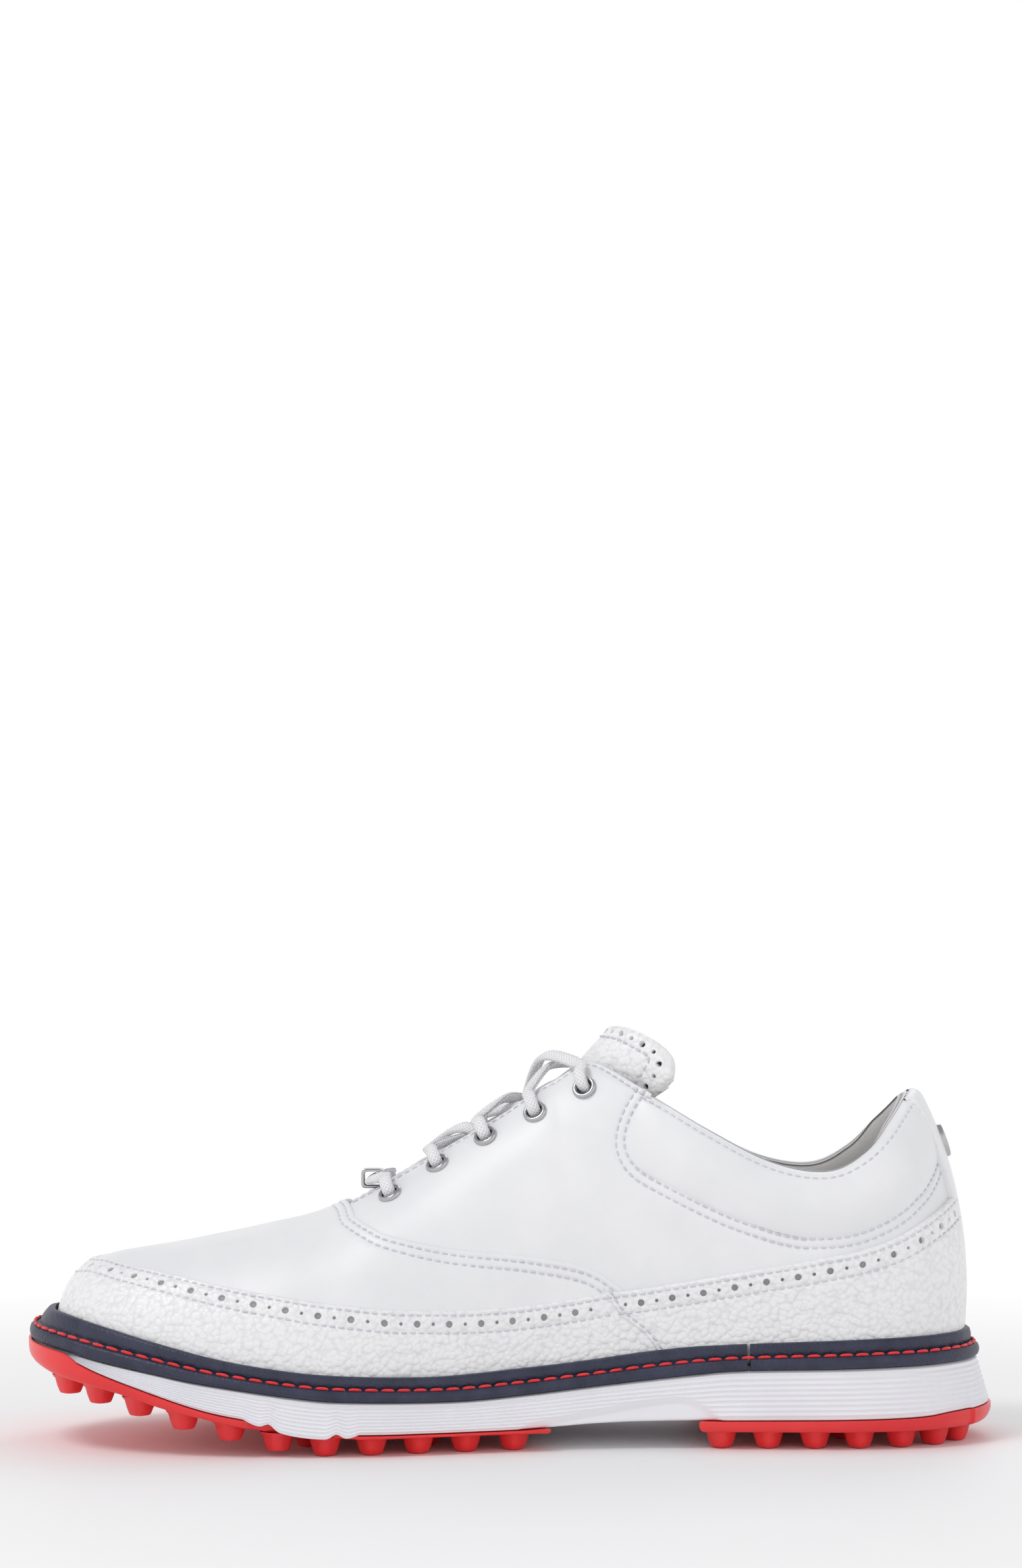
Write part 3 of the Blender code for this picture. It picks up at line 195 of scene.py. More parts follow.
def spans(rows, s):
    """Smooth values at s of rows that are padded with one more at each end."""
    k = np.clip(s.astype(int), 0, len(rows) - 4)
    t = s - k
    if rows.ndim > 1:
        t = t[:, None]
    a, b, c, d = rows[k], rows[k + 1], rows[k + 2], rows[k + 3]
    return 0.5 * (2 * b + (c - a) * t + (2 * a - 5 * b + 4 * c - d) * t**2 + (3 * b - a - 3 * c + d) * t**3)


def smooth(points, steps):
    """Open smooth curve through the points."""
    pts = np.array(points, float)
    padded = np.vstack([2 * pts[0] - pts[1], pts, 2 * pts[-1] - pts[-2]])
    s = np.linspace(0, len(pts) - 1, (len(pts) - 1) * steps + 1)
    return spans(padded, s)


def height_table(points):
    curve = smooth(sorted(points), 12)
    return lambda x: np.interp(x, curve[:, 0], curve[:, 1])


plate_bottom = height_table(PLATE_BOTTOM)
midsole_bottom = height_table(MIDSOLE_BOTTOM)
welt_bottom = height_table(WELT_BOTTOM)
welt_top = height_table(WELT_TOP)
midsole_flare = height_table(MIDSOLE_FLARE)
ridge_table = height_table(RIDGE_SHIFT)


def ridge_shift(x):
    return ridge_table(np.clip(x, RIDGE_SHIFT[0][0], RIDGE_SHIFT[-1][0]))


def closed_loop():
    corners = np.array(MEDIAL_EDGE + LATERAL_EDGE[-2:0:-1], float)
    padded = np.vstack([corners[-1], corners, corners[:2]])
    curve = spans(padded, np.linspace(0, len(corners), len(corners) * LOOP_STEPS + 1))
    return curve, travelled(curve)


LOOP, ALONG = closed_loop()
PERIMETER = ALONG[-1]
HALF = ALONG[(len(MEDIAL_EDGE) - 1) * LOOP_STEPS]
LAST = len(STATIONS) - 1


def edge_point(place):
    """Point of the welt edge at a distance from the toe tip, counted round by the arch side."""
    return table_at(np.asarray(place) % PERIMETER, ALONG, LOOP)


def edge_outward(place):
    run = edge_point(place + 3) - edge_point(place - 3)
    return unit(np.column_stack([run[:, 1], -run[:, 0]]))


def side_heads(side):
    """Distances along one side of the edge at which the stations start."""
    length = HALF if side > 0 else PERIMETER - HALF
    reach = np.linspace(0, length, 3000)
    xs = edge_point(side * reach)[:, 0]
    heads = [float(np.interp(-row[0], -xs, reach)) for row in STATIONS[1:-1]]
    heads = [0.0] + heads + [length]
    return np.array([-heads[1]] + heads + [2 * length - heads[-2]])


HEADS = {1: side_heads(1), -1: side_heads(-1)}
ROWS = np.array(STATIONS)
MIRROR = ROWS[-2].copy()
MIRROR[3] *= -1
PADDED_ROWS = np.vstack([ROWS[1], ROWS, MIRROR])


def unfold(w):
    """Side and station of w, which runs from the outer heel by the toe (0) to the inner heel and on."""
    side = np.where((w < 0) | (w > LAST), -1, 1)
    s = np.where(w < 0, -w, np.where(w > LAST, 2 * LAST - w, w))
    return side, s


def upper_point(w, v):
    """Points of the upper's outer shape: w counts stations around, v runs from sole (0) to top (1)."""
    side, s = unfold(w)
    row = spans(PADDED_ROWS, s)
    place = np.where(side > 0, spans(HEADS[1], s), -spans(HEADS[-1], s))
    point, normal = edge_point(place), edge_outward(place)
    foot = point - row[:, 1:2] * normal
    base = np.column_stack([foot, welt_bottom(foot[:, 0]) + GAP])
    shift = ridge_shift(row[:, 2])
    top = np.column_stack([row[:, 2], shift + side * np.maximum(row[:, 3], 0), row[:, 4]])
    out = np.column_stack([normal, np.zeros(len(w))])
    low = base + row[:, 6:7] * out + row[:, 5:6] * UP
    high = top + row[:, 7:8] * out + row[:, 8:9] * UP
    v = v[:, None]
    u = 1 - v
    return u**3 * base + 3 * u * u * v * low + 3 * u * v * v * high + v**3 * top


class Surface:
    """A surface read by flat coordinates (a, b) that are roughly millimetres along and across it."""

    def __init__(self, place):
        self.place = place

    def frame(self, ab):
        e = 0.05
        along = (self.place(ab + [e, 0]) - self.place(ab - [e, 0])) / (2 * e)
        across = (self.place(ab + [0, e]) - self.place(ab - [0, e])) / (2 * e)
        normal = np.cross(along, across)
        size = np.linalg.norm(normal, axis=1)
        bad = size < 1e-3
        if bad.any() and not bad.all():
            _, normal[bad], along[bad], across[bad] = self.frame(ab[bad] - [0, 1.5])
            size = np.linalg.norm(normal, axis=1)
        return self.place(ab), normal / size[:, None], along, across

    def slide(self, ab, moves):
        """(a, b) after small moves in space."""
        _, _, along, across = self.frame(ab)
        aa, bb = (along * along).sum(1), (across * across).sum(1)
        mixed = (along * across).sum(1)
        ra, rb = (along * moves).sum(1), (across * moves).sum(1)
        det = aa * bb - mixed**2
        return ab + np.column_stack([(bb * ra - mixed * rb) / det, (aa * rb - mixed * ra) / det])

    def shifted(self, ab, distance, closed=False):
        """Curve moved to its left by a distance measured on the surface."""
        point, normal, _, _ = self.frame(ab)
        if closed:
            run = np.roll(point, -1, 0) - np.roll(point, 1, 0)
        else:
            run = np.gradient(point, axis=0)
        run /= np.linalg.norm(run, axis=1)[:, None] + 1e-9
        left = np.cross(normal, run)
        steps = max(1, int(abs(distance) / 2))
        for _ in range(steps):
            ab = self.slide(ab, left * distance / steps)
        return ab

    def resample(self, ab, spacing):
        """The same curve with its points evenly spaced in space."""
        run = travelled(self.place(ab))
        return table_at(np.linspace(0, run[-1], max(2, int(round(run[-1] / spacing)) + 1)), run, ab)


UPPER = Surface(lambda ab: upper_point(ab[:, 0] / A_SCALE, ab[:, 1] / B_SCALE))


def locate(xz, side):
    """(a, b) on one side of the upper of the points whose side view is (x, z)."""
    xz = np.array(xz, float)
    s, v = np.meshgrid(np.arange(0, LAST + 0.01, 0.25), np.arange(0.02, 1.0, 0.04))
    coarse = np.column_stack([side * s.ravel() * A_SCALE, v.ravel() * B_SCALE])
    seen = UPPER.place(coarse)[:, [0, 2]]
    ab = np.array([coarse[np.argmin(((seen - p) ** 2).sum(1))] for p in xz])
    for _ in range(12):
        point, _, along, across = UPPER.frame(ab)
        gap = xz - point[:, [0, 2]]
        det = along[:, 0] * across[:, 2] - along[:, 2] * across[:, 0]
        det = np.where(np.abs(det) < 0.05, 0.05 * np.sign(det + 1e-9), det)
        da = (gap[:, 0] * across[:, 2] - gap[:, 1] * across[:, 0]) / det
        db = (along[:, 0] * gap[:, 1] - along[:, 2] * gap[:, 0]) / det
        ab = ab + np.column_stack([np.clip(da, -5, 5), np.clip(db, -5, 5)])
        ab[:, 0] = side * np.clip(side * ab[:, 0], 0, LAST * A_SCALE)
        ab[:, 1] = np.clip(ab[:, 1], 0, B_SCALE)
    return ab


def level(w, height):
    """(a, b) at w where the surface reaches a height."""
    v = np.linspace(0.02, 1, 200)
    z = upper_point(np.full(200, float(w)), v)[:, 2]
    first = np.argmax(z >= height) if (z >= height).any() else 199
    return np.array([w * A_SCALE, v[first] * B_SCALE])


def top_station(x):
    s = np.linspace(0, LAST, 2000)
    xs = upper_point(s, np.ones(2000))[:, 0]
    return float(s[np.argmin(np.abs(xs - x))])


def at_width(w, width):
    """(a, b) at w where the surface lies a width to the side of the middle plane, or its top edge."""
    v = np.linspace(0.3, 1, 400)
    y = np.abs(upper_point(np.full(400, float(w)), v)[:, 1])
    wide = np.nonzero(y >= width)[0]
    return np.array([w * A_SCALE, v[wide[-1]] * B_SCALE])


# ---------------------------------------------------------------- materials
def node(mat, kind, inputs=None, **settings):
    made = mat.node_tree.nodes.new("ShaderNode" + kind)
    for key, value in settings.items():
        setattr(made, key, value)
    for key, value in (inputs or {}).items():
        if isinstance(value, bpy.types.NodeSocket):
            mat.node_tree.links.new(value, made.inputs[key])
        else:
            made.inputs[key].default_value = value
    return made


def tree(name, colour, roughness, metallic=0.0, **sockets):
    mat = bpy.data.materials.new(name)
    mat.use_nodes = True
    shader = mat.node_tree.nodes["Principled BSDF"]
    uniform = {"Base Color": (*colour, 1), "Roughness": roughness, "Metallic": metallic, **sockets}
    for key, value in uniform.items():
        shader.inputs[key.replace("_", " ")].default_value = value
    mat.diffuse_color = (*colour, 1)
    return mat, shader


def place_of(mat, source="Object"):
    return node(mat, "TexCoord").outputs[source]


def ramp(mat, factor, low, high, start=0.3, stop=0.7):
    made = node(mat, "ValToRGB", {"Fac": factor})
    for element, position, colour in zip(made.color_ramp.elements, (start, stop), (low, high)):
        element.position = position
        element.color = (*colour, 1)
    return made.outputs["Color"]


def noise(scale, detail=2.0):
    return "TexNoise", "Fac", {"Scale": scale, "Detail": detail}, {}


def cells(scale, feature="F1", **inputs):
    return "TexVoronoi", "Distance", {"Scale": scale, **inputs}, {"feature": feature}


def wave(scale, **inputs):
    return "TexWave", "Fac", {"Scale": scale, **inputs}, {"bands_direction": "DIAGONAL"}


def pattern(mat, kind, output, inputs, settings):
    return node(mat, kind, {"Vector": place_of(mat), **inputs}, **settings).outputs[output]


def relief(mat, shader, layers):
    """Stacks bumps: each layer is (pattern or height socket, strength, depth in metres)."""
    normal = None
    for height, strength, depth in layers:
        if isinstance(height, tuple):
            height = pattern(mat, *height)
        inputs = {"Height": height, "Strength": strength, "Distance": depth}
        if normal:
            inputs["Normal"] = normal
        normal = node(mat, "Bump", inputs).outputs["Normal"]
    mat.node_tree.links.new(normal, shader.inputs["Normal"])


def mottled(name, colour, roughness, low, high, scale, grain, **sockets):
    """Material that drifts between two near tones, with a relief of fine patterns."""
    mat, shader = tree(name, colour, roughness, **sockets)
    tones = ramp(mat, pattern(mat, *noise(scale, 3.0)), low, high)
    mat.node_tree.links.new(tones, shader.inputs["Base Color"])
    relief(mat, shader, grain)
    return mat


def pebbled_leather():
    mat, shader = tree("pebbled_leather_fine", (0.86, 0.86, 0.87), 0.38, Specular_IOR_Level=0.5,
                       Coat_Weight=0.1, Coat_Roughness=0.3)
    drift = pattern(mat, "TexNoise", "Color", {"Scale": 260.0, "Detail": 1.0}, {})
    push = node(mat, "VectorMath", {0: drift, "Scale": PEBBLE_SIZE}, operation="SCALE").outputs["Vector"]
    spot = node(mat, "VectorMath", {0: place_of(mat), 1: push}, operation="ADD").outputs["Vector"]
    groove = pattern(mat, *cells(1.0 / PEBBLE_SIZE, "SMOOTH_F1", Vector=spot, Smoothness=0.12))
    squared = node(mat, "Math", {0: groove, 1: groove}, operation="MULTIPLY").outputs["Value"]
    # The ramp darkens the grooves between the pebbles: painted shade in the recesses, on top of the bump.
    mat.node_tree.links.new(ramp(mat, squared, (0.875, 0.875, 0.882), (0.83, 0.83, 0.84), 0.18, 0.42),
                            shader.inputs["Base Color"])
    dome = node(mat, "Math", {0: squared, 1: -3.0, 2: 1.0}, operation="MULTIPLY_ADD").outputs["Value"]
    relief(mat, shader, [(dome, 0.6, 0.00025), (noise(1900.0), 0.12, 0.0001)])
    return mat


def thread(name, low, high):
    return mottled(name, high, 0.6, low, high, 900.0, [(wave(1400.0, Distortion=1.5), 0.5, 0.0001)],
                   Sheen_Weight=0.3)


def lace_weave():
    mat, shader = tree("lace_weave_fine", (0.87, 0.87, 0.885), 0.82, Sheen_Weight=0.35, Sheen_Roughness=0.4)
    spot = place_of(mat, "UV")
    flip = node(mat, "Mapping", {"Vector": spot, "Scale": (1.0, -1.0, 1.0)}).outputs["Vector"]
    strands = [pattern(mat, *wave(0.55, Vector=vector)) for vector in (spot, flip)]
    both = node(mat, "Math", {0: strands[0], 1: strands[1]}, operation="MAXIMUM").outputs["Value"]
    # Darker between the strands where the weave sinks: painted shade in the hollows of the braid.
    mat.node_tree.links.new(ramp(mat, both, (0.74, 0.74, 0.77), (0.90, 0.90, 0.91), 0.2, 0.9),
                            shader.inputs["Base Color"])
    relief(mat, shader, [(both, 0.8, 0.00025)])
    return mat


def nickel():
    mat, shader = tree("nickel_fine", (0.50, 0.50, 0.515), 0.2, 1.0)
    polish = node(mat, "MapRange", {"Value": pattern(mat, *noise(300.0)), "To Min": 0.14, "To Max": 0.3})
    mat.node_tree.links.new(polish.outputs["Result"], shader.inputs["Roughness"])
    relief(mat, shader, [(noise(900.0), 0.08, 0.0001)])
    return mat


LEATHER = mottled("smooth_leather_fine", (0.83, 0.835, 0.85), 0.42, (0.80, 0.805, 0.825),
                  (0.86, 0.862, 0.872), 45.0, [(noise(90.0, 3.0), 0.35, 0.0004),
                                               (cells(1500.0), 0.16, 0.00012), (noise(2600.0), 0.12, 0.0001)],
                  Specular_IOR_Level=0.45, Coat_Weight=0.08, Coat_Roughness=0.35)
PEBBLE = pebbled_leather()
LINING = mottled("lining_leather_fine", (0.60, 0.585, 0.58), 0.7, (0.56, 0.545, 0.54), (0.65, 0.63, 0.625),
                 60.0, [(cells(1300.0), 0.35, 0.0002), (noise(120.0), 0.3, 0.0004)])
THREAD = thread("thread_white_fine", (0.62, 0.61, 0.68), (0.76, 0.75, 0.82))
RED_THREAD = thread("thread_red_fine", (0.72, 0.012, 0.02), (0.88, 0.03, 0.035))
WELT = mottled("welt_navy_fine", (0.02, 0.024, 0.055), 0.45, (0.016, 0.019, 0.045), (0.032, 0.037, 0.075),
               160.0, [(cells(1150.0, "SMOOTH_F1", Smoothness=0.3), 0.5, 0.00025),
                       (noise(2200.0), 0.25, 0.0001)])
FOAM = mottled("midsole_foam_fine", (0.84, 0.835, 0.875), 0.5, (0.815, 0.81, 0.855), (0.865, 0.86, 0.895),
               30.0, [(noise(1600.0), 0.12, 0.0001)], Subsurface_Weight=0.06, Subsurface_Scale=0.002)
RUBBER = mottled("outsole_red_fine", (0.86, 0.045, 0.045), 0.32, (0.72, 0.012, 0.018), (0.88, 0.035, 0.035),
                 22.0, [(noise(1500.0), 0.1, 0.0001), (noise(200.0), 0.1, 0.0003)],
                 Specular_IOR_Level=0.5, Coat_Weight=0.12, Coat_Roughness=0.25)
WEAVE = lace_weave()
METAL = nickel()
BOARD = mottled("inner_board_fine", (0.45, 0.36, 0.25), 0.8, (0.40, 0.31, 0.21), (0.50, 0.40, 0.29), 90.0,
                [(noise(1200.0), 0.3, 0.0002)])
PADDING = mottled("inner_foam_fine", (0.78, 0.78, 0.73), 0.9, (0.74, 0.74, 0.69), (0.82, 0.82, 0.77), 90.0,
                  [(cells(1800.0), 0.4, 0.0002)])
# Grey sheet seen through the brogue holes: painted shade, a dark sheet put where the holes would only be in
# shadow.
BROGUE_SHADE = mottled("brogue_shade_fine", (0.36, 0.36, 0.37), 0.9, (0.32, 0.32, 0.33), (0.40, 0.40, 0.41),
                   200.0, [(noise(1500.0), 0.3, 0.0002)])


# ---------------------------------------------------------------- mesh building
def make_mesh(name, vertices, faces, material, nodes=(), body="root", sharp=None):
    """Object from millimetre vertices, riding on a body and standing for CAD nodes."""
    mesh = bpy.data.meshes.new(name)
    mesh.from_pydata((np.array(vertices, float) * MM).tolist(), [], [tuple(int(i) for i in f) for f in faces])
    mesh.shade_smooth()
    if sharp:
        mesh.set_sharp_from_angle(angle=math.radians(sharp))
    mesh.materials.append(material)
    made = bpy.data.objects.new(name, mesh)
    bpy.context.collection.objects.link(made)
    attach(made, body)
    if nodes:
        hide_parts(*nodes)
    return made


def strips(rows, columns, closed=False, start=0):
    """Quads between the points of a grid, stored row by row."""
    faces = []
    for i in range(rows - 1):
        for j in range(columns if closed else columns - 1):
            a, b = start + i * columns + j, start + i * columns + (j + 1) % columns
            faces.append((a, b, b + columns, a + columns))
    return faces


def turned(outline, centre, axis, first, second, sides, squared=0.0):
    """Rings of points round an axis from an outline of (radius, height), made slightly square if asked."""
    vertices = []
    for radius, height in outline:
        for k in range(sides):
            angle = 2 * math.pi * k / sides
            reach = radius * (1 + squared * math.cos(4 * angle))
            vertices.append(centre + reach * (math.cos(angle) * first + math.sin(angle) * second)
                            + height * axis)
    return vertices


def inside(points, polygon):
    """Which points lie inside a closed polygon."""
    x, y = points[:, 0][:, None], points[:, 1][:, None]
    ahead = np.roll(polygon, -1, 0)
    odd = np.zeros(len(points), bool)
    for start in range(0, len(polygon), CHUNK):
        a, b = polygon[start:start + CHUNK], ahead[start:start + CHUNK]
        rise = np.where(b[:, 1] == a[:, 1], 1.0, b[:, 1] - a[:, 1])
        crossing = a[:, 0] + (y - a[:, 1]) * (b[:, 0] - a[:, 0]) / rise
        odd ^= (((a[:, 1] > y) != (b[:, 1] > y)) & (x < crossing)).sum(1) % 2 == 1
    return odd


def to_segments(points, a, b):
    """Distance in space from each point to the nearest of the segments from a to b."""
    run = b - a
    length = (run * run).sum(1) + 1e-12
    best = np.full(len(points), 1e9)
    for start in range(0, len(points), CHUNK):
        p = points[start:start + CHUNK, None, :]
        t = np.clip(((p - a[None]) * run[None]).sum(2) / length, 0, 1)
        foot = a[None] + t[:, :, None] * run[None]
        best[start:start + CHUNK] = np.sqrt(((p - foot) ** 2).sum(2).min(1))
    return best


def distance_to(points, line, closed=False):
    ahead = np.roll(line, -1, 0)
    return to_segments(points, line, ahead) if closed else to_segments(points, line[:-1], ahead[:-1])


def panel_mesh(surface, outline, chains, holes, creases, roll, spacing):
    """Triangles inside the outline whose edges follow the chains, as (a, b) points and indices."""
    low, high = outline.min(0), outline.max(0)
    grid_a, grid_b = np.meshgrid(np.arange(low[0], high[0], spacing), np.arange(low[1], high[1], spacing))
    grid_a[1::2] += spacing / 2
    grid = np.column_stack([grid_a.ravel(), grid_b.ravel()])
    grid = grid[inside(grid, outline)]
    grid_points = surface.place(grid)
    keep = distance_to(grid_points, surface.place(outline), True) > EDGE_CLEAR * roll
    for crease in creases:
        keep &= distance_to(grid_points, surface.place(crease)) > CREASE_CLEAR
    for point, radius in holes:
        keep &= np.linalg.norm(grid_points - point, axis=1) > radius + HOLE_CLEAR
    points, edges = [], []
    for k, (chain, closed) in enumerate(chains):
        start, count = len(points), len(chain)
        near = inside(chain, outline) if k and not closed else np.ones(count, bool)
        points += list(chain)
        for i in range(count if closed or 1 <= k <= len(ROLL_RINGS) else count - 1):
            if near[i] and near[(i + 1) % count]:
                edges.append((start + i, start + (i + 1) % count))
    points += list(grid[keep])
    out = geometry.delaunay_2d_cdt([Vector(p) for p in points], edges, [], 0, 1e-4)
    ab = np.array([tuple(v) for v in out[0]])
    triangles = np.array([f for f in out[2] if len(f) == 3])
    triangles = triangles[inside(ab[triangles].mean(1), outline)]
    middle = surface.place(ab[triangles].mean(1))
    solid = np.ones(len(triangles), bool)
    for point, radius in holes:
        solid &= np.linalg.norm(middle - point, axis=1) > radius * 0.96
    return ab, triangles[solid]


def panel(name, surface, outline, top, bottom, material, nodes=(), holes=(), joined=None, roll=1.2,
          profile=None, creases=(), spacing=1.7, body="root", extra=None):
    """Leather panel cut from a surface. The outline and the holes are closed curves in (a, b). joined says
    which outline points carry on into another panel, and stay flat. The edge is rounded over roll.
    profile(distance, points) gives a height over the base surface, and creases are sunken stitch lines."""
    area = np.sum(outline[:, 0] * np.roll(outline[:, 1], -1) - outline[:, 1] * np.roll(outline[:, 0], -1))
    if area < 0:
        outline = outline[::-1]
        joined = None if joined is None else joined[::-1]
    creases = [crease for crease in creases if len(crease) > 3]
    free = np.ones(len(outline), bool) if joined is None else ~joined
    run = np.roll(outline, -1, 0) - np.roll(outline, 1, 0)
    run /= np.linalg.norm(run, axis=1)[:, None] + 1e-9
    chains = [(outline, True)]
    for share in ROLL_RINGS:
        ring = surface.shifted(outline, share * roll, closed=True)
        ring[~free] = (outline + share * roll * np.column_stack([-run[:, 1], run[:, 0]]))[~free]
        chains.append((ring, False))
    for crease in creases:
        chains += [(surface.shifted(crease, reach), False) for reach in CREASE_RINGS]
    round_holes = []
    for centre, radius, sides in holes:
        spot = np.repeat(np.array([centre]), sides, axis=0)
        point, normal, along, _ = surface.frame(spot)
        angles = np.arange(sides)[:, None] * 2 * math.pi / sides
        first = unit(along)
        second = np.cross(normal, first)
        for reach in (radius, radius + HOLE_RING):
            moves = reach * (np.cos(angles) * first + np.sin(angles) * second)
            chains.append((surface.slide(spot, moves), True))
        round_holes.append((point[0], radius))
    ab, triangles = panel_mesh(surface, outline, chains, round_holes, creases, roll, spacing)
    base, normal, _, _ = surface.frame(ab)
    line = surface.place(outline)
    starts = np.nonzero(free & np.roll(free, -1))[0]
    lifted = to_segments(base, line[starts], line[(starts + 1) % len(line)])
    if profile:
        height = profile(lifted, base)
    else:
        t = np.clip(lifted / roll, 0, 1)
        height = top - 0.6 * min(roll, top - bottom) * (1 - np.sqrt(np.clip(1 - (1 - t) ** 2, 0, 1)))
    for crease in creases:
        near = distance_to(base, surface.place(crease))
        height -= np.sign(top - bottom) * CREASE_DEPTH * np.exp(-(near / CREASE_WIDTH) ** 2)
    if extra:
        height = height + extra(ab, base)
    count = len(ab)
    sides = np.vstack([triangles[:, [0, 1]], triangles[:, [1, 2]], triangles[:, [2, 0]]]).astype(np.int64)
    rim = sides[~np.isin(sides[:, 0] * count + sides[:, 1], sides[:, 1] * count + sides[:, 0])]
    faces = [tuple(t) for t in triangles]
    for a, b in rim:
        if not free.all() and lifted[a] > 0.02 and lifted[b] > 0.02:
            if min(np.linalg.norm(line[~free] - base[k], axis=1).min() for k in (a, b)) < 0.05:
                continue
        faces.append((b, a, a + count, b + count))
    alive = np.unique(np.concatenate([np.array(f) for f in faces]))
    index = np.full(2 * count, -1)
    index[alive] = np.arange(len(alive))
    both = np.vstack([base + height[:, None] * normal, base + bottom * normal])[alive]
    return make_mesh(name, both, [tuple(index[i] for i in f) for f in faces], material, nodes, body)


def weld(obj, distance=0.05):
    """Joins the halves of a panel where they meet."""
    bm = bmesh.new()
    bm.from_mesh(obj.data)
    bmesh.ops.remove_doubles(bm, verts=[v for v in bm.verts if v.is_boundary], dist=distance * MM)
    bm.to_mesh(obj.data)
    bm.free()


def stitches(name, rows, material, body="root", length=2.05, radius=0.28):
    """Rows of thread stitches. Each row is (points, normals, tangents) at its stitches' middles."""
    sides = 6
    rings = [(-0.5, 0.35, -0.30), (-0.42, 0.8, -0.06), (-0.2, 1.0, 0.1), (0.2, 1.0, 0.1),
             (0.42, 0.8, -0.06), (0.5, 0.35, -0.30)]
    vertices, faces = [], []
    for points, normals, tangents in rows:
        for p, n, t in zip(points, normals, tangents):
            t = unit(t)
            side = np.cross(n, t)
            start = len(vertices)
            for reach, size, rise in rings:
                for k in range(sides):
                    angle = 2 * math.pi * k / sides
                    vertices.append(p + reach * length * t + radius * size * math.cos(angle) * side
                                    + (rise + radius * size * math.sin(angle)) * n)
            faces += strips(len(rings), sides, True, start)
            faces.append(tuple(start + k for k in range(sides)))
            faces.append(tuple(start + (len(rings) - 1) * sides + k for k in range(sides)))
    return make_mesh(name, vertices, faces, material, (), body)


def stitch_line(surface, curve, height, pitch=2.65):
    """Stitch middles along a curve of a surface, at a height over it."""
    marks = surface.resample(curve, pitch)
    point, normal, _, _ = surface.frame(marks)
    return point + height * normal, normal, np.gradient(point, axis=0)


# ---------------------------------------------------------------- camera, lights and floor
def make_camera():
    data = bpy.data.cameras.new("camera")
    data.lens = LENS
    data.sensor_width = SENSOR_WIDTH
    data.shift_y = CAMERA_SHIFT
    camera = bpy.data.objects.new("camera", data)
    bpy.context.collection.objects.link(camera)
    camera.location = CAMERA_PLACE
    camera.rotation_euler = (math.radians(90), 0.0, math.radians(180))
    bpy.context.scene.camera = camera


def area_light(name, place, size, power):
    data = bpy.data.lights.new(name, "AREA")
    data.shape = "DISK"
    data.size = size
    data.energy = power
    lamp = bpy.data.objects.new(name, data)
    bpy.context.collection.objects.link(lamp)
    lamp.location = place
    lamp.rotation_euler = (Vector((0, 0, 0.05)) - Vector(place)).to_track_quat("-Z", "Y").to_euler()


def make_studio():
    world = bpy.data.worlds.new("studio")
    world.use_nodes = True
    background = world.node_tree.nodes["Background"]
    height = node(world, "SeparateXYZ", {"Vector": place_of(world, "Generated")}).outputs["Z"]
    sky = ramp(world, height, (1.0, 1.0, 1.0), (0.48, 0.48, 0.49), 0.36, 0.6)
    world.node_tree.links.new(sky, background.inputs["Color"])
    bpy.context.scene.world = world
    bpy.context.scene.view_settings.view_transform = "Standard"
    area_light("key", (0.55, 0.45, 1.1), 0.45, 4.6)
    area_light("fill", (-0.9, 0.5, 0.7), 0.8, 0.6)
    area_light("back", (-0.3, -0.8, 0.9), 0.6, 1.6)
    mat, shader = tree("floor_white", (0.95, 0.95, 0.955), 0.6)
    clear = node(mat, "BsdfTransparent")
    reach = node(mat, "VectorMath", {0: place_of(mat)}, operation="LENGTH").outputs["Value"]
    fade = node(mat, "MapRange", {"Value": reach, "From Min": 0.14, "From Max": 0.55},
                interpolation_type="SMOOTHSTEP").outputs["Result"]
    mixed = node(mat, "MixShader", {0: fade, 1: shader.outputs["BSDF"], 2: clear.outputs["BSDF"]})
    mat.node_tree.links.new(mixed.outputs["Shader"], mat.node_tree.nodes["Material Output"].inputs["Surface"])
    mesh = bpy.data.meshes.new("floor")
    corners = ((-1, -1), (1, -1), (1, 1), (-1, 1))
    mesh.from_pydata([(x * FLOOR_HALF, y * FLOOR_HALF, FLOOR_HEIGHT) for x, y in corners], [], [(0, 1, 2, 3)])
    mesh.materials.append(mat)
    floor = bpy.data.objects.new("floor", mesh)
    bpy.context.collection.objects.link(floor)


# ---------------------------------------------------------------- outlines on the upper
SEWN = []


def sewn(curves, height):
    """Remembers curves that get a row of stitches at a height over the surface, and gives them back."""
    SEWN.extend((curve, height) for curve in curves if len(curve) > 3)
    return curves


def seam_curve(points, side):
    return UPPER.resample(locate(smooth(points, 8), side), POINT_SPACING)


def overlay_curve(side):
    """Top edge of the mudguard on one side, from the toe to the middle of the heel."""
    body = seam_curve(OVERLAY_EDGE, side)
    ends = np.vstack([level(0.0, OVERLAY_TOE_HEIGHT), body[::14], level(side * LAST, OVERLAY_HEEL_HEIGHT)])
    return UPPER.resample(smooth(ends, 8), POINT_SPACING)


def facing_curve(side):
    """Edge of the facing from the throat to where the top edge takes over."""
    stations = np.linspace(top_station(THROAT_X) + 0.02, FACING_TOP_STATION, 60)
    return np.array([at_width(side * s, SLOT_HALF_WIDTH) for s in stations])


def round_line(side, start, stop, count, height=B_SCALE):
    """Points from station to station of one side, at one b, which is the top edge if not said."""
    return np.column_stack([side * np.linspace(start, stop, count) * A_SCALE, np.full(count, height)])


def upright_line(w, start, stop, count):
    return np.column_stack([np.full(count, w * A_SCALE), np.linspace(start, stop, count)])


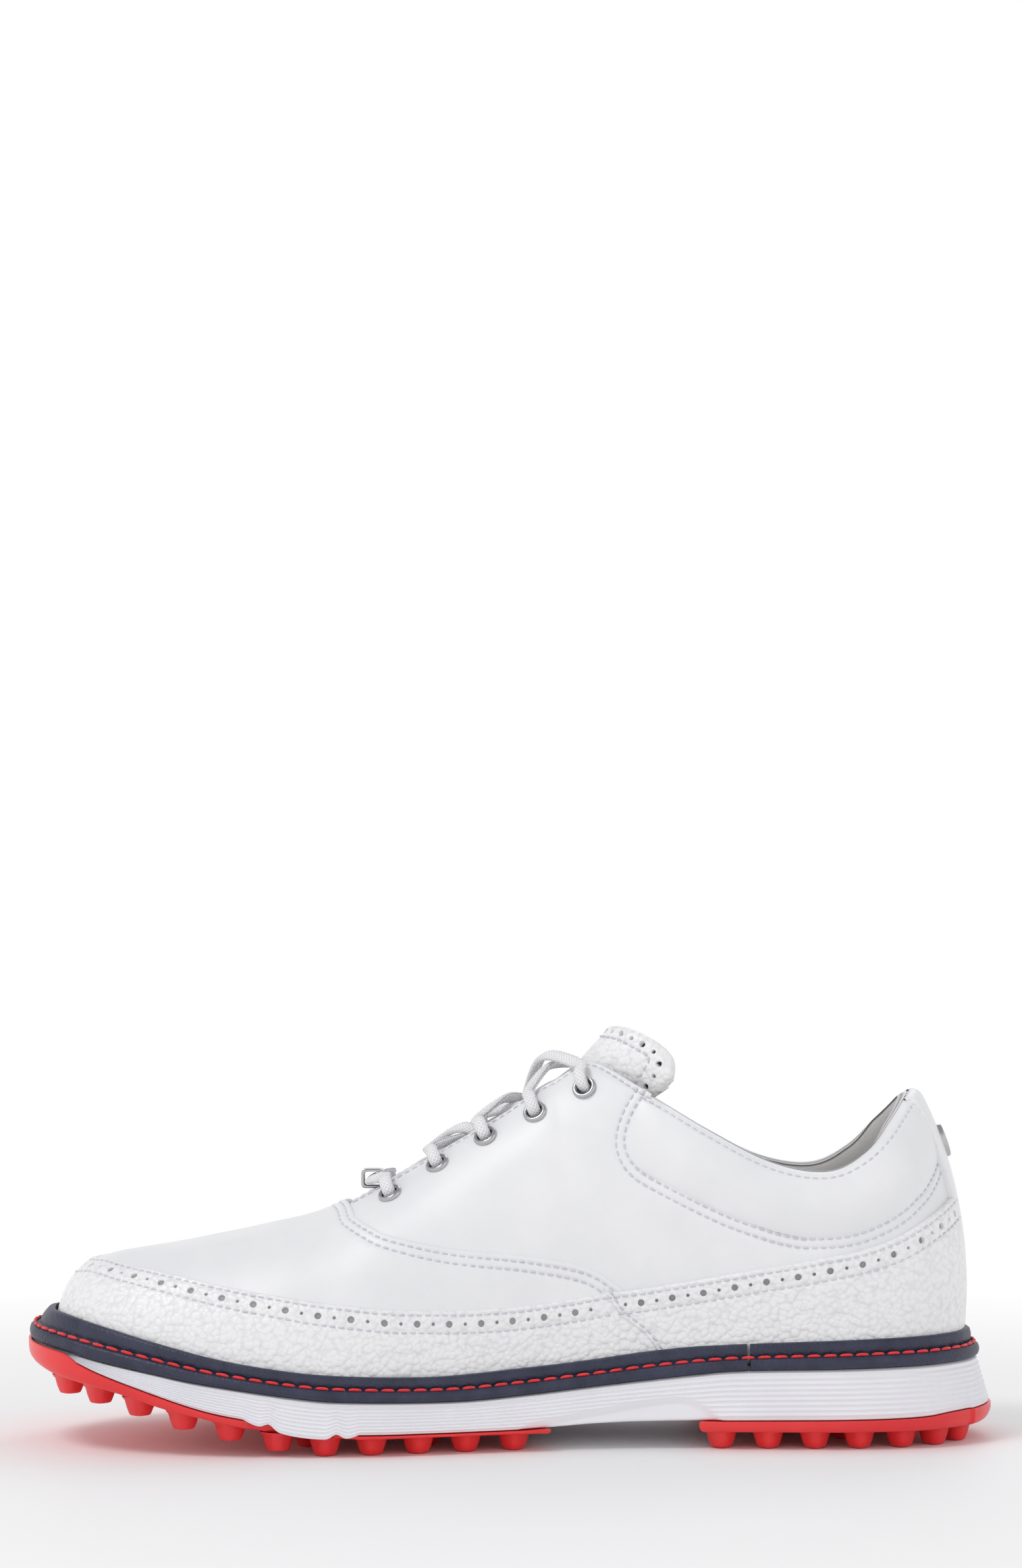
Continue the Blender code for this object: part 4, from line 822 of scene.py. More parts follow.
def collar_curve(side):
    """Lower edge of the padded collar panel from the top line round to the middle of the heel."""
    body = locate(smooth(COLLAR_EDGE, 8), side)
    whole = np.vstack([[side * top_station(COLLAR_START_X) * A_SCALE, B_SCALE], body[::4],
                       level(side * LAST, COLLAR_HEEL_HEIGHT)])
    return UPPER.resample(smooth(whole, 6), POINT_SPACING)


def lowered(curve, drop=7):
    return curve - [0, drop]


def join(*pieces):
    """One outline from successive open curves, without doubled points."""
    points = np.vstack(pieces)
    step = np.linalg.norm(np.diff(points, axis=0, append=points[:1]), axis=1)
    return points[step > 1e-3]


def meet(first, second):
    """Cuts two curves where they come closest, keeping the first up to there and the second after."""
    gaps = np.linalg.norm(first[:, None] - second[None], axis=2)
    i, j = np.unravel_index(np.argmin(gaps), gaps.shape)
    return first[:i + 1], second[j:]


def rows_inside(curve, reaches, outline):
    """Parts inside the outline of curves that run beside a curve."""
    lines = [UPPER.shifted(curve, reach) for reach in reaches]
    return [line[inside(line, outline)] for line in lines]


def at_heel(outline):
    return np.abs(np.abs(outline[:, 0]) - LAST * A_SCALE) < 1e-6


def brogue_holes(curve, depth):
    """Alternating large and small holes along an edge, a depth inside it."""
    marks = UPPER.resample(UPPER.shifted(curve, depth), 4.9)
    return [(mark, 1.05 if k % 2 else 0.55, 12 if k % 2 else 8) for k, mark in enumerate(marks[1:-1])]


def wavy(amount, size):
    """Faint unevenness of hand-lasted leather."""
    def height(_, base):
        x, y, z = (base / size).T
        broad = np.sin(x + 0.7 * np.sin(z)) * np.cos(0.8 * z + 0.5 * y)
        return amount * (broad + 0.5 * np.sin(2.3 * x + 1.7 * z))
    return height


def build_vamp():
    throat = top_station(THROAT_X)
    seams, cuts = [], []
    for side in (1, -1):
        seam = np.vstack([[side * throat * A_SCALE, B_SCALE], seam_curve(VAMP_SEAM[1:], side)])
        seam, low = UPPER.resample(seam, POINT_SPACING), lowered(overlay_curve(side))
        seams.append((side, seam))
        cuts.append((meet(seam, low)[0], meet(low, seam)[0]))
    (down_m, front_m), (down_l, front_l) = cuts
    s = np.linspace(0, throat, 90)
    ridge = np.concatenate([-s[::-1], s[1:]])
    top = np.column_stack([ridge * A_SCALE, np.full(len(ridge), B_SCALE)])[1:-1]
    outline = join(down_m, front_m[::-1], front_l, down_l[::-1], top)
    joined = np.abs(outline[:, 1] - B_SCALE) < 1e-6
    joined[0] = False
    creases = [line[line[:, 1] < B_SCALE] for side, seam in seams
               for line in rows_inside(seam[1:], (-2.0 * side, -4.6 * side), outline)]
    weld(panel("vamp_panel", UPPER, outline, VAMP_TOP, 0.2, LEATHER, ("vamp",),
               joined=joined, creases=sewn(creases, VAMP_THREAD), extra=wavy(0.07, 9.0), spacing=2.0))


def build_quarter(side, label):
    collar, facing = collar_curve(side), facing_curve(side)
    seam = UPPER.shifted(seam_curve(VAMP_SEAM, side), -3.0 * side)
    low = lowered(overlay_curve(side))
    top = round_line(side, FACING_TOP_STATION + 0.02, top_station(COLLAR_START_X), 60)
    heel = upright_line(side * LAST, collar[-1][1], low[-1][1], 12)
    low_back, up = meet(low[::-1], seam[::-1])
    seam_up = meet(up, facing)[0] if len(up) > 2 else up
    outline = join(facing, top, collar, heel[1:-1], low_back, seam_up)
    creases = rows_inside(join(facing, top), [-1.7 * side], outline)
    creases += rows_inside(collar, (-2.4 * side, -5.0 * side), outline)
    holes = [(spot, PUNCHED_HOLE, 24) for spot in locate(EYELETS, side)]
    panel("quarter_panel_" + label, UPPER, outline, LEATHER_TOP, -0.2, LEATHER,
          ("quarter_" + label, "eyelet_stay_" + label), holes=holes, joined=at_heel(outline),
          creases=sewn(creases, QUARTER_THREAD), extra=wavy(0.10, 10.0), spacing=2.0)


def rounded_top(distance, outwards):
    """Height of a padded edge that turns over at the top line, to the outside (1) or the lining (-1)."""
    t = np.clip(distance / PAD_ROLL, 0, 1)
    swell = 0.5 * (LEATHER_TOP - LINING_IN) * np.sqrt(np.clip(1 - (1 - t) ** 2, 0, 1))
    return 0.5 * (LINING_IN + LEATHER_TOP) + outwards * swell


def build_collar(side, label):
    collar = UPPER.shifted(collar_curve(side), -2.0 * side)
    top = round_line(side, abs(collar[0][0]) / A_SCALE, LAST, 110)
    outline = join(top, upright_line(side * LAST, B_SCALE, collar[-1][1], 14)[1:-1], collar[::-1])
    top_points, low_points = UPPER.place(top), UPPER.place(collar)

    def profile(_, base):
        to_top, to_low = distance_to(base, top_points), distance_to(base, low_points)
        swell = 2.0 * np.clip(to_low / 9.0, 0, 1) ** 0.6 * np.clip(to_top / 9.0, 0, 1) ** 0.5
        return rounded_top(to_top, 1) - 0.2 + swell

    creases = sewn(rows_inside(top, [-2.6 * side], outline), COLLAR_THREAD)
    panel("collar_pad_" + label, UPPER, outline, LEATHER_TOP, -0.4, LEATHER,
                    ("collar_panel_" + label, "collar_foam_" + label), joined=at_heel(outline),
                    profile=profile, creases=creases, roll=PAD_ROLL, spacing=1.8)


def build_lining(side, label):
    start, stop, foot = FACING_TOP_STATION + 0.05, LINING_FRONT_STATION, 0.1 * B_SCALE
    top = round_line(side, start, LAST, 130)
    heel = upright_line(side * LAST, B_SCALE, foot, 30)
    front = np.array([at_width(side * s, 9.0) for s in np.linspace(stop, start, 40)])
    outline = join(top, heel[1:-1], round_line(side, LAST, stop, 110, foot), front[1:-1])
    top_points = UPPER.place(top)

    def profile(_, base):
        to_top = distance_to(base, top_points)
        return rounded_top(to_top, -1) - 1.3 * np.exp(-((to_top - 11.0) / 6.5) ** 2)

    panel("lining_fine_" + label, UPPER, outline, LINING_IN, LINING_OUT, LINING,
                    ("quarter_lining_" + label,), joined=at_heel(outline), profile=profile, roll=PAD_ROLL,
                    spacing=2.6)


def build_guard(name, outline, top, holes, creases, lift):
    panel("mudguard_fine_" + name.split("_")[-1], UPPER, outline, top, 1.0, PEBBLE,
          (name,), holes=holes, creases=sewn(creases, lift), spacing=1.2, extra=wavy(0.08, 6.0))


def build_mudguards():
    edges = {side: overlay_curve(side) for side in SIDES}
    seams = {side: seam_curve(OVERLAY_SEAM, side) for side in SIDES}
    heads, halves = {}, []
    for side in SIDES:
        heads[side], down = meet(edges[side], seams[side])
        foot = round_line(side, abs(seams[side][-1][0]) / A_SCALE, 0, 90, SOLE_LINE)
        halves.append(np.vstack([heads[side], UPPER.shifted(down, 2.2 * side), foot]))
    outline = join(halves[0], halves[1][::-1])
    holes, creases = [], []
    for side in SIDES:
        holes += brogue_holes(heads[side], -GUARD_HOLES_IN * side)
        creases += rows_inside(heads[side], [-reach * side for reach in GUARD_ROWS], outline)
    build_guard("mudguard_front", outline, FRONT_GUARD_TOP, holes, creases, FRONT_THREAD)
    for side, label in SIDES.items():
        edge, seam = edges[side], seams[side]
        end = LAST - REAR_GUARD_END
        tail = edge[len(heads[side]):]
        tail = tail[side * tail[:, 0] < end * A_SCALE]
        strip = upright_line(side * end, tail[-1][1], SOLE_LINE, 40)
        foot = round_line(side, end, abs(seam[-1][0]) / A_SCALE, 90, SOLE_LINE)
        outline = join(tail, strip[1:], foot[1:], seam[::-1])
        creases = rows_inside(tail, [-reach * side for reach in GUARD_ROWS], outline)
        creases += rows_inside(seam, [1.6 * side], outline)
        build_guard("mudguard_rear_" + label, outline, REAR_GUARD_TOP,
                    brogue_holes(tail, -GUARD_HOLES_IN * side), creases, REAR_THREAD)
        # Grey ribbon under the brogue holes: painted shade that stands in for the shadow inside them.
        ribbon = [UPPER.shifted(edge, -reach * side) for reach in (1.0, 2.5, 4.0, 5.5, 7.0)]
        ribbon = np.vstack([UPPER.place(line) + BROGUE_SHADE_RISE * UPPER.frame(line)[1] for line in ribbon])
        make_mesh("brogue_shade_" + label, ribbon, strips(5, len(edge)), BROGUE_SHADE)


def build_back_strip():
    """Strip over the heel seam, from the welt to the top line, where it turns over the padding."""
    edges = []
    for side in (1, -1):
        line = []
        for height in np.linspace(0.02, 1, 90):
            w = np.linspace(LAST - 3, LAST, 160)
            y = upper_point(w, np.full(160, height))[:, 1]
            wide = w[np.argmin(np.abs(y - STRIP_HALF_WIDTH))]
            line.append((wide if side > 0 else 2 * LAST - wide, height))
        edges.append(np.array(line) * [A_SCALE, B_SCALE])
    inner, outer = edges
    top = np.column_stack([np.linspace(inner[-1][0], outer[-1][0], 20), np.full(20, B_SCALE)])
    base = np.column_stack([np.linspace(outer[0][0], inner[0][0], 20), np.full(20, SOLE_LINE)])
    outline = join(inner, top[1:-1], outer[::-1], base[1:-1])
    top_points, inner_points, outer_points = (UPPER.place(line) for line in (top, inner, outer))

    def profile(_, points):
        to_side = np.minimum(distance_to(points, inner_points), distance_to(points, outer_points))
        edge = 1 - np.sqrt(1 - (1 - np.clip(to_side, 0, 1)) ** 2)
        return rounded_top(distance_to(points, top_points), 1) + 2.2 - 0.6 * edge

    panel("back_strip_fine", UPPER, outline, STRIP_TOP, 0.6, LEATHER, ("back_strip",),
          profile=profile, spacing=1.5)


def build_upper_stitches():
    rows = [stitch_line(UPPER, curve, height) for curve, height in SEWN]
    stitches("upper_stitching", rows, THREAD)


# ---------------------------------------------------------------- the tongue
TONGUE_ROWS = smooth(TONGUE, 8)
TONGUE_RUN = travelled(TONGUE_ROWS[:, :2])
TONGUE_LENGTH = TONGUE_RUN[-1]


def tongue_point(ab):
    """Point of the tongue's face: b along the middle from the throat, a round the arch."""
    length = np.clip(ab[:, 1], 0, TONGUE_LENGTH)
    row = table_at(length, TONGUE_RUN, TONGUE_ROWS)
    way = unit(row[:, 4:6])
    angle = ab[:, 0] / ARCH_RADIUS
    xz = row[:, :2] + (row[:, 3] * (1 - np.cos(angle)))[:, None] * way
    y = ridge_shift(row[:, 0]) + row[:, 2] * np.sin(angle)
    beyond = ab[:, 1] - length
    for step, past in ((TONGUE_ROWS[-1, :2] - TONGUE_ROWS[-2, :2], np.maximum(beyond, 0)),
                       (TONGUE_ROWS[1, :2] - TONGUE_ROWS[0, :2], np.minimum(beyond, 0))):
        xz = xz + past[:, None] * unit(step)
    return np.column_stack([xz[:, 0], y, xz[:, 1]])


TONGUE_FACE = Surface(tongue_point)


def tongue_outline(margin=0.0):
    """The tongue's cut shape, or a line a margin inside it. It runs on under the vamp, and its top is a low
    arch with round corners."""
    half, end = TONGUE_SWEEP * ARCH_RADIUS - margin, TONGUE_LENGTH - margin
    side = [(half, -9.0), (half, 20.0), (half, end - 9.0), (half - 0.3, end - 3.0), (half - 1.9, end + 2.6),
            (27.5 - 0.7 * margin, end + 5.6), (21.4, end + 5.2), (13.7, end + 3.4), (6.0, end + 1.1),
            (0.0, end)]
    right = smooth(side, 10)
    whole = np.vstack([right, right[-2::-1] * [-1, 1], right[:1]])
    flat = Surface(lambda ab: np.column_stack([ab, np.zeros(len(ab))]))
    return flat.resample(whole, POINT_SPACING)[:-1]


def build_tongue():
    outline = tongue_outline()
    middle, half = -0.5 * TONGUE_THICKNESS, 0.5 * TONGUE_THICKNESS

    def pillow(ab, base):
        """Swell under the laces, up to the facings at both sides."""
        angle, along = ab[:, 0] / ARCH_RADIUS, ab[:, 1]
        crest = 0.9 * np.clip((along - 20) / 8, 0, 1) * np.cos(angle)
        sides = 8.0 * (1 - np.cos(angle)) * np.clip((1.25 - np.abs(angle)) / 0.5, 0, 1)
        swell = crest + sides * np.clip((along - 2) / 10, 0, 1)
        return np.clip((80 - along) / 28, 0, 1) * swell + wavy(0.08, 6.0)(ab, base)

    def bulge(distance):
        return half * np.sqrt(1 - (1 - np.clip(distance / TONGUE_ROLL, 0, 1)) ** 2)

    seam, dots = [line[line[:, 1] > 48] for line in (tongue_outline(5.4), tongue_outline(3.2))]
    marks = TONGUE_FACE.resample(dots, 4.4)
    holes = [(mark, 1.0 if k % 2 else 0.7, 10) for k, mark in enumerate(marks)]
    face = panel("tongue_cover", TONGUE_FACE, outline, 0.0, middle, PEBBLE,
                 ("tongue_face", "tongue_foam"), holes=holes, creases=[seam], roll=TONGUE_ROLL, spacing=1.3,
                 profile=lambda d, _: middle + bulge(d) + 0.5 * np.clip((d - 5.5) / 6, 0, 1),
                 body="tongue", extra=pillow)
    back = panel("tongue_back", TONGUE_FACE, outline, -TONGUE_THICKNESS, middle, LINING,
                 profile=lambda d, _: middle - bulge(d), roll=TONGUE_ROLL, spacing=2.4, body="tongue")
    stitches("tongue_stitching", [stitch_line(TONGUE_FACE, seam, 0.0)], THREAD, "tongue")


# ---------------------------------------------------------------- the sole
AROUND = np.linspace(0, PERIMETER, 721)[:-1]
EDGE, OUTWARD = edge_point(AROUND), edge_outward(AROUND)


def flex_zone(x):
    """How far the midsole comes down over the plate between the ball and the toe."""
    return np.clip(1 - np.abs((x - FLEX_MIDDLE) / FLEX_HALF) ** 6, 0, 1)


def toe_share(x):
    """How much the plate takes over from the midsole at the toe, where it runs up to the welt."""
    return np.clip((x - 130.5) / 5.0, 0, 1)


def fill(outline, height, spacing):
    """Triangles over a closed plan outline, with inner points at height(x): vertices and faces."""
    low, high = outline.min(0), outline.max(0)
    grid_x, grid_y = np.meshgrid(np.arange(low[0], high[0], spacing), np.arange(low[1], high[1], spacing))
    grid = np.column_stack([grid_x.ravel(), grid_y.ravel()])
    grid = grid[inside(grid, outline[:, :2])]
    grid = grid[distance_to(grid, outline[:, :2], True) > 0.6 * spacing]
    points = [Vector(p) for p in outline[:, :2]] + [Vector(p) for p in grid]
    count = len(outline)
    out = geometry.delaunay_2d_cdt(points, [(i, (i + 1) % count) for i in range(count)], [], 1, 1e-4)
    plan = np.array([tuple(p) for p in out[0]])
    return np.column_stack([plan, height(plan[:, 0])]), [tuple(f) for f in out[2]]


def closed_rings(rings, caps):
    """Vertices and faces of a tube of rings, with caps given as (ring, height(x), spacing)."""
    vertices, faces = np.vstack(rings), strips(len(rings), len(rings[0]), True)
    for ring, height, spacing in caps:
        points, triangles = fill(ring, height, spacing)
        faces += [tuple(len(vertices) + i for i in f) for f in triangles]
        vertices = np.vstack([vertices, points])
    return vertices, faces


def station_inset(place):
    """Inset of the feather edge at a distance round the welt edge, and the lean of the upper there."""
    inset, lean = np.zeros(len(place)), np.zeros(len(place))
    for side, pick in ((1, place <= HALF), (-1, place > HALF)):
        reach = place[pick] if side > 0 else PERIMETER - place[pick]
        row = spans(PADDED_ROWS, np.interp(reach, HEADS[side][1:-1], np.arange(LAST + 1)))
        inset[pick] = row[:, 1]
        lean[pick] = row[:, 6] / row[:, 5]
    return inset, lean


def build_midsole():
    x = EDGE[:, 0]
    facet = smooth(ARCH_FACET, 8)
    facet = facet[np.argsort(facet[:, 0])]
    boundary = np.interp(x, facet[:, 0], facet[:, 1], left=-10, right=-10)
    notch = sum(np.exp(-((x - place) / NOTCH_WIDTH) ** 2) for place in NOTCHES)
    foot = midsole_bottom(x) - 1.5 * flex_zone(x) + 1.6 * notch
    rows = []
    for t in np.linspace(0, 1, 84):
        z = foot * (1 - t) + (welt_bottom(x) - GAP) * t
        bead = RIB_DEPTH * (0.5 - 0.5 * math.cos(2 * math.pi * t * RIBS)) ** 0.6
        edge = 0.9 * (math.exp(-t / 0.02) + math.exp(-(1 - t) / 0.02))
        deep = (AROUND < HALF) * np.clip((boundary - z) / 0.9, 0, 1)
        reach = (1 - t) * (midsole_flare(x) - 0.2) - 0.6 * t - 1.4 * toe_share(x)
        reach = reach - (1 - deep) * bead - edge - deep * 1.3 * np.clip((boundary - z) / 3, 0, 1)
        rows.append(np.column_stack([EDGE + reach[:, None] * OUTWARD, z]))
    vertices, faces = closed_rings(rows, [(rows[0], midsole_bottom, 6.0),
                                          (rows[-1], lambda x: welt_bottom(x) - GAP, 6.0)])
    make_mesh("midsole_fine", vertices, faces, FOAM, ("midsole",), sharp=60)


def build_welt():
    inset, lean = station_inset(AROUND)
    inner = -inset + OVERLAY_OUT + GAP
    inner_top = inner + lean * WELT_RISE
    turn = np.linspace(0, 1, 9)
    section = [(-0.9, 0.0), (-0.3, 0.03)]
    section += [(0.35 * math.sin(math.pi * t) - 0.15, 0.05 + 0.33 * t) for t in turn]
    section += [(-0.7, 0.425), (-1.3, 0.44), (-2.2, 0.45), (-2.6, 0.47)]
    section += [(-2.75 + 0.4 * math.sin(math.pi * t), 0.49 + 0.46 * t) for t in turn]
    section += [(-3.1, 0.985), (-3.8, 1.0)]
    low, high = welt_bottom(EDGE[:, 0]), welt_top(EDGE[:, 0])
    joint = int(np.argmin(np.abs(EDGE[:, 0] - WELT_JOINT_X) + 100 * (AROUND > HALF)))
    order = np.roll(np.arange(len(AROUND)), -joint - 1)
    tuck = np.maximum(-3.1 - (inner_top + 1.6), 0)
    reaches = [(reach - tuck * max(share - 0.45, 0) / 0.55, share) for reach, share in section]
    rows = [np.column_stack([EDGE + reach[:, None] * OUTWARD, low + share * (high - low)])[order]
            for reach, share in [(inner, 0.0)] + reaches + [(inner_top, 1.0)]]
    rows.append(rows[0])
    columns = len(AROUND)
    faces = strips(len(rows), columns)
    faces += [tuple(i * columns + j for i in range(len(rows) - 1)) for j in (0, columns - 1)]
    make_mesh("welt_fine", np.vstack(rows), faces, WELT, ("storm_welt",), sharp=50)
    marks = np.arange(0.5 * WELT_STITCH_PITCH, PERIMETER, WELT_STITCH_PITCH)
    spot, out = edge_point(marks), edge_outward(marks)
    before, after = edge_point(marks - 1), edge_point(marks + 1)
    base, crown = welt_bottom(spot[:, 0]), welt_top(spot[:, 0])
    middles = np.column_stack([spot - 1.45 * out, base + 0.462 * (crown - base) + 0.25])
    tangents = np.column_stack([after - before, welt_top(after[:, 0]) - welt_top(before[:, 0])])
    normals = np.column_stack([0.8 * out, np.full(len(marks), 0.6)])
    stitches("welt_stitching", [(middles, normals, tangents)], RED_THREAD, length=3.9,
             radius=0.5)


def plate_ring(forward, limit, inset, share, lifted):
    """One ring of a plate: the wall along the sole's edge, and a bowed end across the sole."""
    dense = np.linspace(0, PERIMETER, 2401)[:-1]
    kept = forward * edge_point(dense)[:, 0] > forward * limit + inset
    medial, lateral = dense[kept & (dense < HALF)], dense[kept & (dense >= HALF)]
    start, stop = (lateral.min() - PERIMETER, medial.max()) if forward > 0 else (medial.min(), lateral.max())
    place = np.linspace(start, stop, 360)
    point = edge_point(place)
    flare = midsole_flare(point[:, 0]) - 3.6 * flex_zone(point[:, 0])
    wall = point + (flare - inset)[:, None] * edge_outward(place)
    bow = np.linspace(0, 1, 42)[1:-1]
    across = wall[-1] + bow[:, None] * (wall[0] - wall[-1])
    across[:, 0] += forward * 7.0 * np.sin(math.pi * bow) ** 0.8
    whole = np.vstack([wall, across])
    x = whole[:, 0]
    low, high = plate_bottom(x), midsole_bottom(x)
    rise = lifted * toe_share(x) * (welt_bottom(x) - high)
    return np.column_stack([whole, low + share * (high + rise - GAP - low)])


def build_plate(name, node_name, forward, limit, lugs):
    """Red plate whose wall follows the midsole, closed by a rounded end across the sole."""
    section = [(1.6, 0.0, 0), (1.0, 0.04, 0), (0.55, 0.16, 0), (0.2, 0.35, 0), (0.0, 0.55, 1), (0.0, 0.96, 1),
               (0.3, 1.0, 1), (0.9, 1.0, 1), (0.95, 1.0, 0)]
    rows = [plate_ring(forward, limit, *part) for part in section]
    vertices, faces = closed_rings(rows, [(rows[0], plate_bottom, 4.0),
                                          (rows[-1], lambda x: midsole_bottom(x) - GAP, 6.0)])
    vertices = list(vertices)
    for x, y in lugs:
        add_lug(vertices, faces, x, y)
    make_mesh(name, vertices, faces, RUBBER, (node_name,), sharp=40)


def add_lug(vertices, faces, x, y):
    """Cleat with a broad foot collar, tapered sides and a bevelled, slightly dished sole face."""
    base = float(plate_bottom(x))
    low = base - CLEAT_HEIGHT if base > CLEAT_HEIGHT + 0.5 else 0.0
    outline = [(5.2, base + 0.6), (4.9, base - 0.1), (4.4, base - 0.5), (3.8, 0.45 * base + 0.55 * low),
               (3.2, low + 0.7), (2.9, low + 0.18), (2.5, low), (1.6, low), (1.3, low + 0.5),
               (0.05, low + 0.5)]
    faces += strips(len(outline), 28, True, len(vertices))
    vertices += turned(outline, np.array([x, y, 0.0]), UP, FORWARD, SIDEWAYS, 28, squared=0.07)


def lug_places(start, stop, count, inset, middle):
    """Lugs along both edges of the sole between two x, with the lugs in the middle after them."""
    places = []
    for side, length in ((1, HALF), (-1, PERIMETER - HALF)):
        dense = np.linspace(0, length, 1500)
        xs = edge_point(side * dense)[:, 0]
        reach = np.linspace(np.interp(-start, -xs, dense), np.interp(-stop, -xs, dense), count)
        places += list(edge_point(side * reach) - inset * edge_outward(side * reach))
    return places + middle


def build_sockliner():
    reach = LINING_IN - 2.4 - station_inset(AROUND)[0]
    rows = []
    for move, rise in ((0.0, 4.6), (0.0, 7.6), (-0.4, 8.3), (-1.2, 8.6)):
        spot = EDGE + (reach + move)[:, None] * OUTWARD
        rows.append(np.column_stack([spot, welt_bottom(spot[:, 0]) + rise]))
    vertices, faces = closed_rings(rows, [(rows[-1], lambda x: welt_bottom(x) + 8.6, 5.0)])
    made = make_mesh("sockliner_fine", vertices, faces, LINING, ("sockliner",), sharp=60)


# ---------------------------------------------------------------- eyelets, lace and small metal
def build_eyelets(side, label):
    roll = 0.5 * (EYELET_RIM - EYELET_HOLE)
    outline = [(2.75, -1.5), (EYELET_HOLE, -1.5), (EYELET_HOLE, 1.2)]
    outline += [(EYELET_HOLE + roll - roll * math.cos(t), 1.45 + 0.95 * math.sin(t))
                for t in np.linspace(0, math.pi, 9)]
    outline += [(EYELET_RIM, 1.1)]
    point, normal, _, across = UPPER.frame(locate(EYELETS, side))
    for k in range(len(EYELETS)):
        first = unit(across[k])
        vertices = turned(outline, point[k], normal[k], first, np.cross(normal[k], first), 40)
        make_mesh(f"eyelet_ring_{label}_{k + 1}", vertices, strips(len(outline), 40, True), METAL,
                  (f"eyelet_{label}_{k + 1}",))


def ridge_point(x, rise):
    """Point a rise over the upper's top line, in the middle between the facings."""
    s = np.arange(5, 10.01, 0.1)
    places = upper_point(s, np.ones(len(s)))
    here = np.array([np.interp(-x, -places[:, 0], places[:, k]) for k in range(3)])
    slope = np.interp(-x, -places[:, 0], np.gradient(places[:, 2], places[:, 0]))
    return here + rise * np.array([-slope, 0.0, 1.0]) / math.hypot(slope, 1)


def through_eyelet(spot, upwards):
    """Points of the lace round the facing at an eyelet with the way its flat side faces across."""
    stretch = np.linalg.norm(UPPER.frame(np.array([spot]))[3][0])
    points = []
    for rise, reach in LACE_TURN:
        place = np.array([[spot[0], min(spot[1] + reach / stretch, 0.985 * B_SCALE)]])
        centre, normal, along, _ = UPPER.frame(place)
        points.append((centre[0] + rise * normal[0], unit(along[0] * np.sign(spot[0]))))
    return points if upwards else points[::-1]


def lace_route():
    """Middle points of the lace from end to end, with the way its flat side faces."""
    spots = {side: locate(EYELETS, side) for side in (1, -1)}
    uphill = np.array([-0.84, 0.0, 0.54])
    halves = []
    for side, crossings in ((1, (-0.9, 2.0, 2.0, 6.9)), (-1, (-4.3, -1.5, -1.5, 3.4))):
        half = through_eyelet(spots[side][0], False)
        for k, rise in enumerate(crossings[:3]):
            side = -side
            half.append((ridge_point((EYELETS[k][0] + EYELETS[k + 1][0]) / 2, rise), uphill))
            half += through_eyelet(spots[side][k + 1], True)
        half.append((ridge_point((EYELETS[3][0] + EYELETS[4][0]) / 2 + 2, crossings[3]), uphill))
        half += through_eyelet(spots[-side][4], False)[:-2]
        centre, normal, _, across = UPPER.frame(locate(LACE_TAIL, -side))
        half += list(zip(centre - LACE_TAIL_DEPTH * normal, unit(across)))
        halves.append(half)
    bar = [(np.array(KEEPER_CENTRE) + [0, reach, 0], uphill) for reach in (7, 0, -7)]
    return halves[0][::-1] + bar + halves[1]


def build_lace():
    route = lace_route()
    points, wides = (smooth([part[k] for part in route], 8) for k in (0, 1))
    run = travelled(points)
    marks = np.arange(0, run[-1], 0.7)
    line, wide = table_at(marks, run, points), table_at(marks, run, wides)
    for _ in range(3):
        line[1:-1] = 0.5 * line[1:-1] + 0.25 * (line[:-2] + line[2:])
    tangent = unit(np.gradient(line, axis=0))
    wide = unit(wide - (wide * tangent).sum(1)[:, None] * tangent)
    thick = np.cross(tangent, wide)
    sides = 28
    angles = np.arange(sides) * 2 * math.pi / sides
    cord_x, cord_z = rounded_box(angles, LACE_HALF_WIDTH, LACE_HALF_THICKNESS, 0.8).T
    vertices = []
    for i in range(len(line)):
        for k in range(sides):
            braid = 1 + 0.05 * math.cos(2 * math.pi * marks[i] / 1.9 + (k % 4) * math.pi / 2) + 0.03 * (k % 2)
            vertices.append(line[i] + braid * (cord_x[k] * wide[i] + cord_z[k] * thick[i]))
    faces = strips(len(line), sides, True)
    faces += [tuple(range(sides)), tuple((len(line) - 1) * sides + k for k in range(sides))]
    made = make_mesh("lace_braid", vertices, faces, WEAVE, ("lace",))
    layer = made.data.uv_layers.new(name="braid")
    for loop in made.data.loops:
        along, around = divmod(loop.vertex_index, sides)
        layer.data[loop.index].uv = (marks[along], 0.42 * around)


def rounded_box(angles, half_x, half_z, power):
    turn = np.column_stack([np.cos(angles), np.sin(angles)])
    return np.sign(turn) * np.abs(turn) ** power * [half_x, half_z]


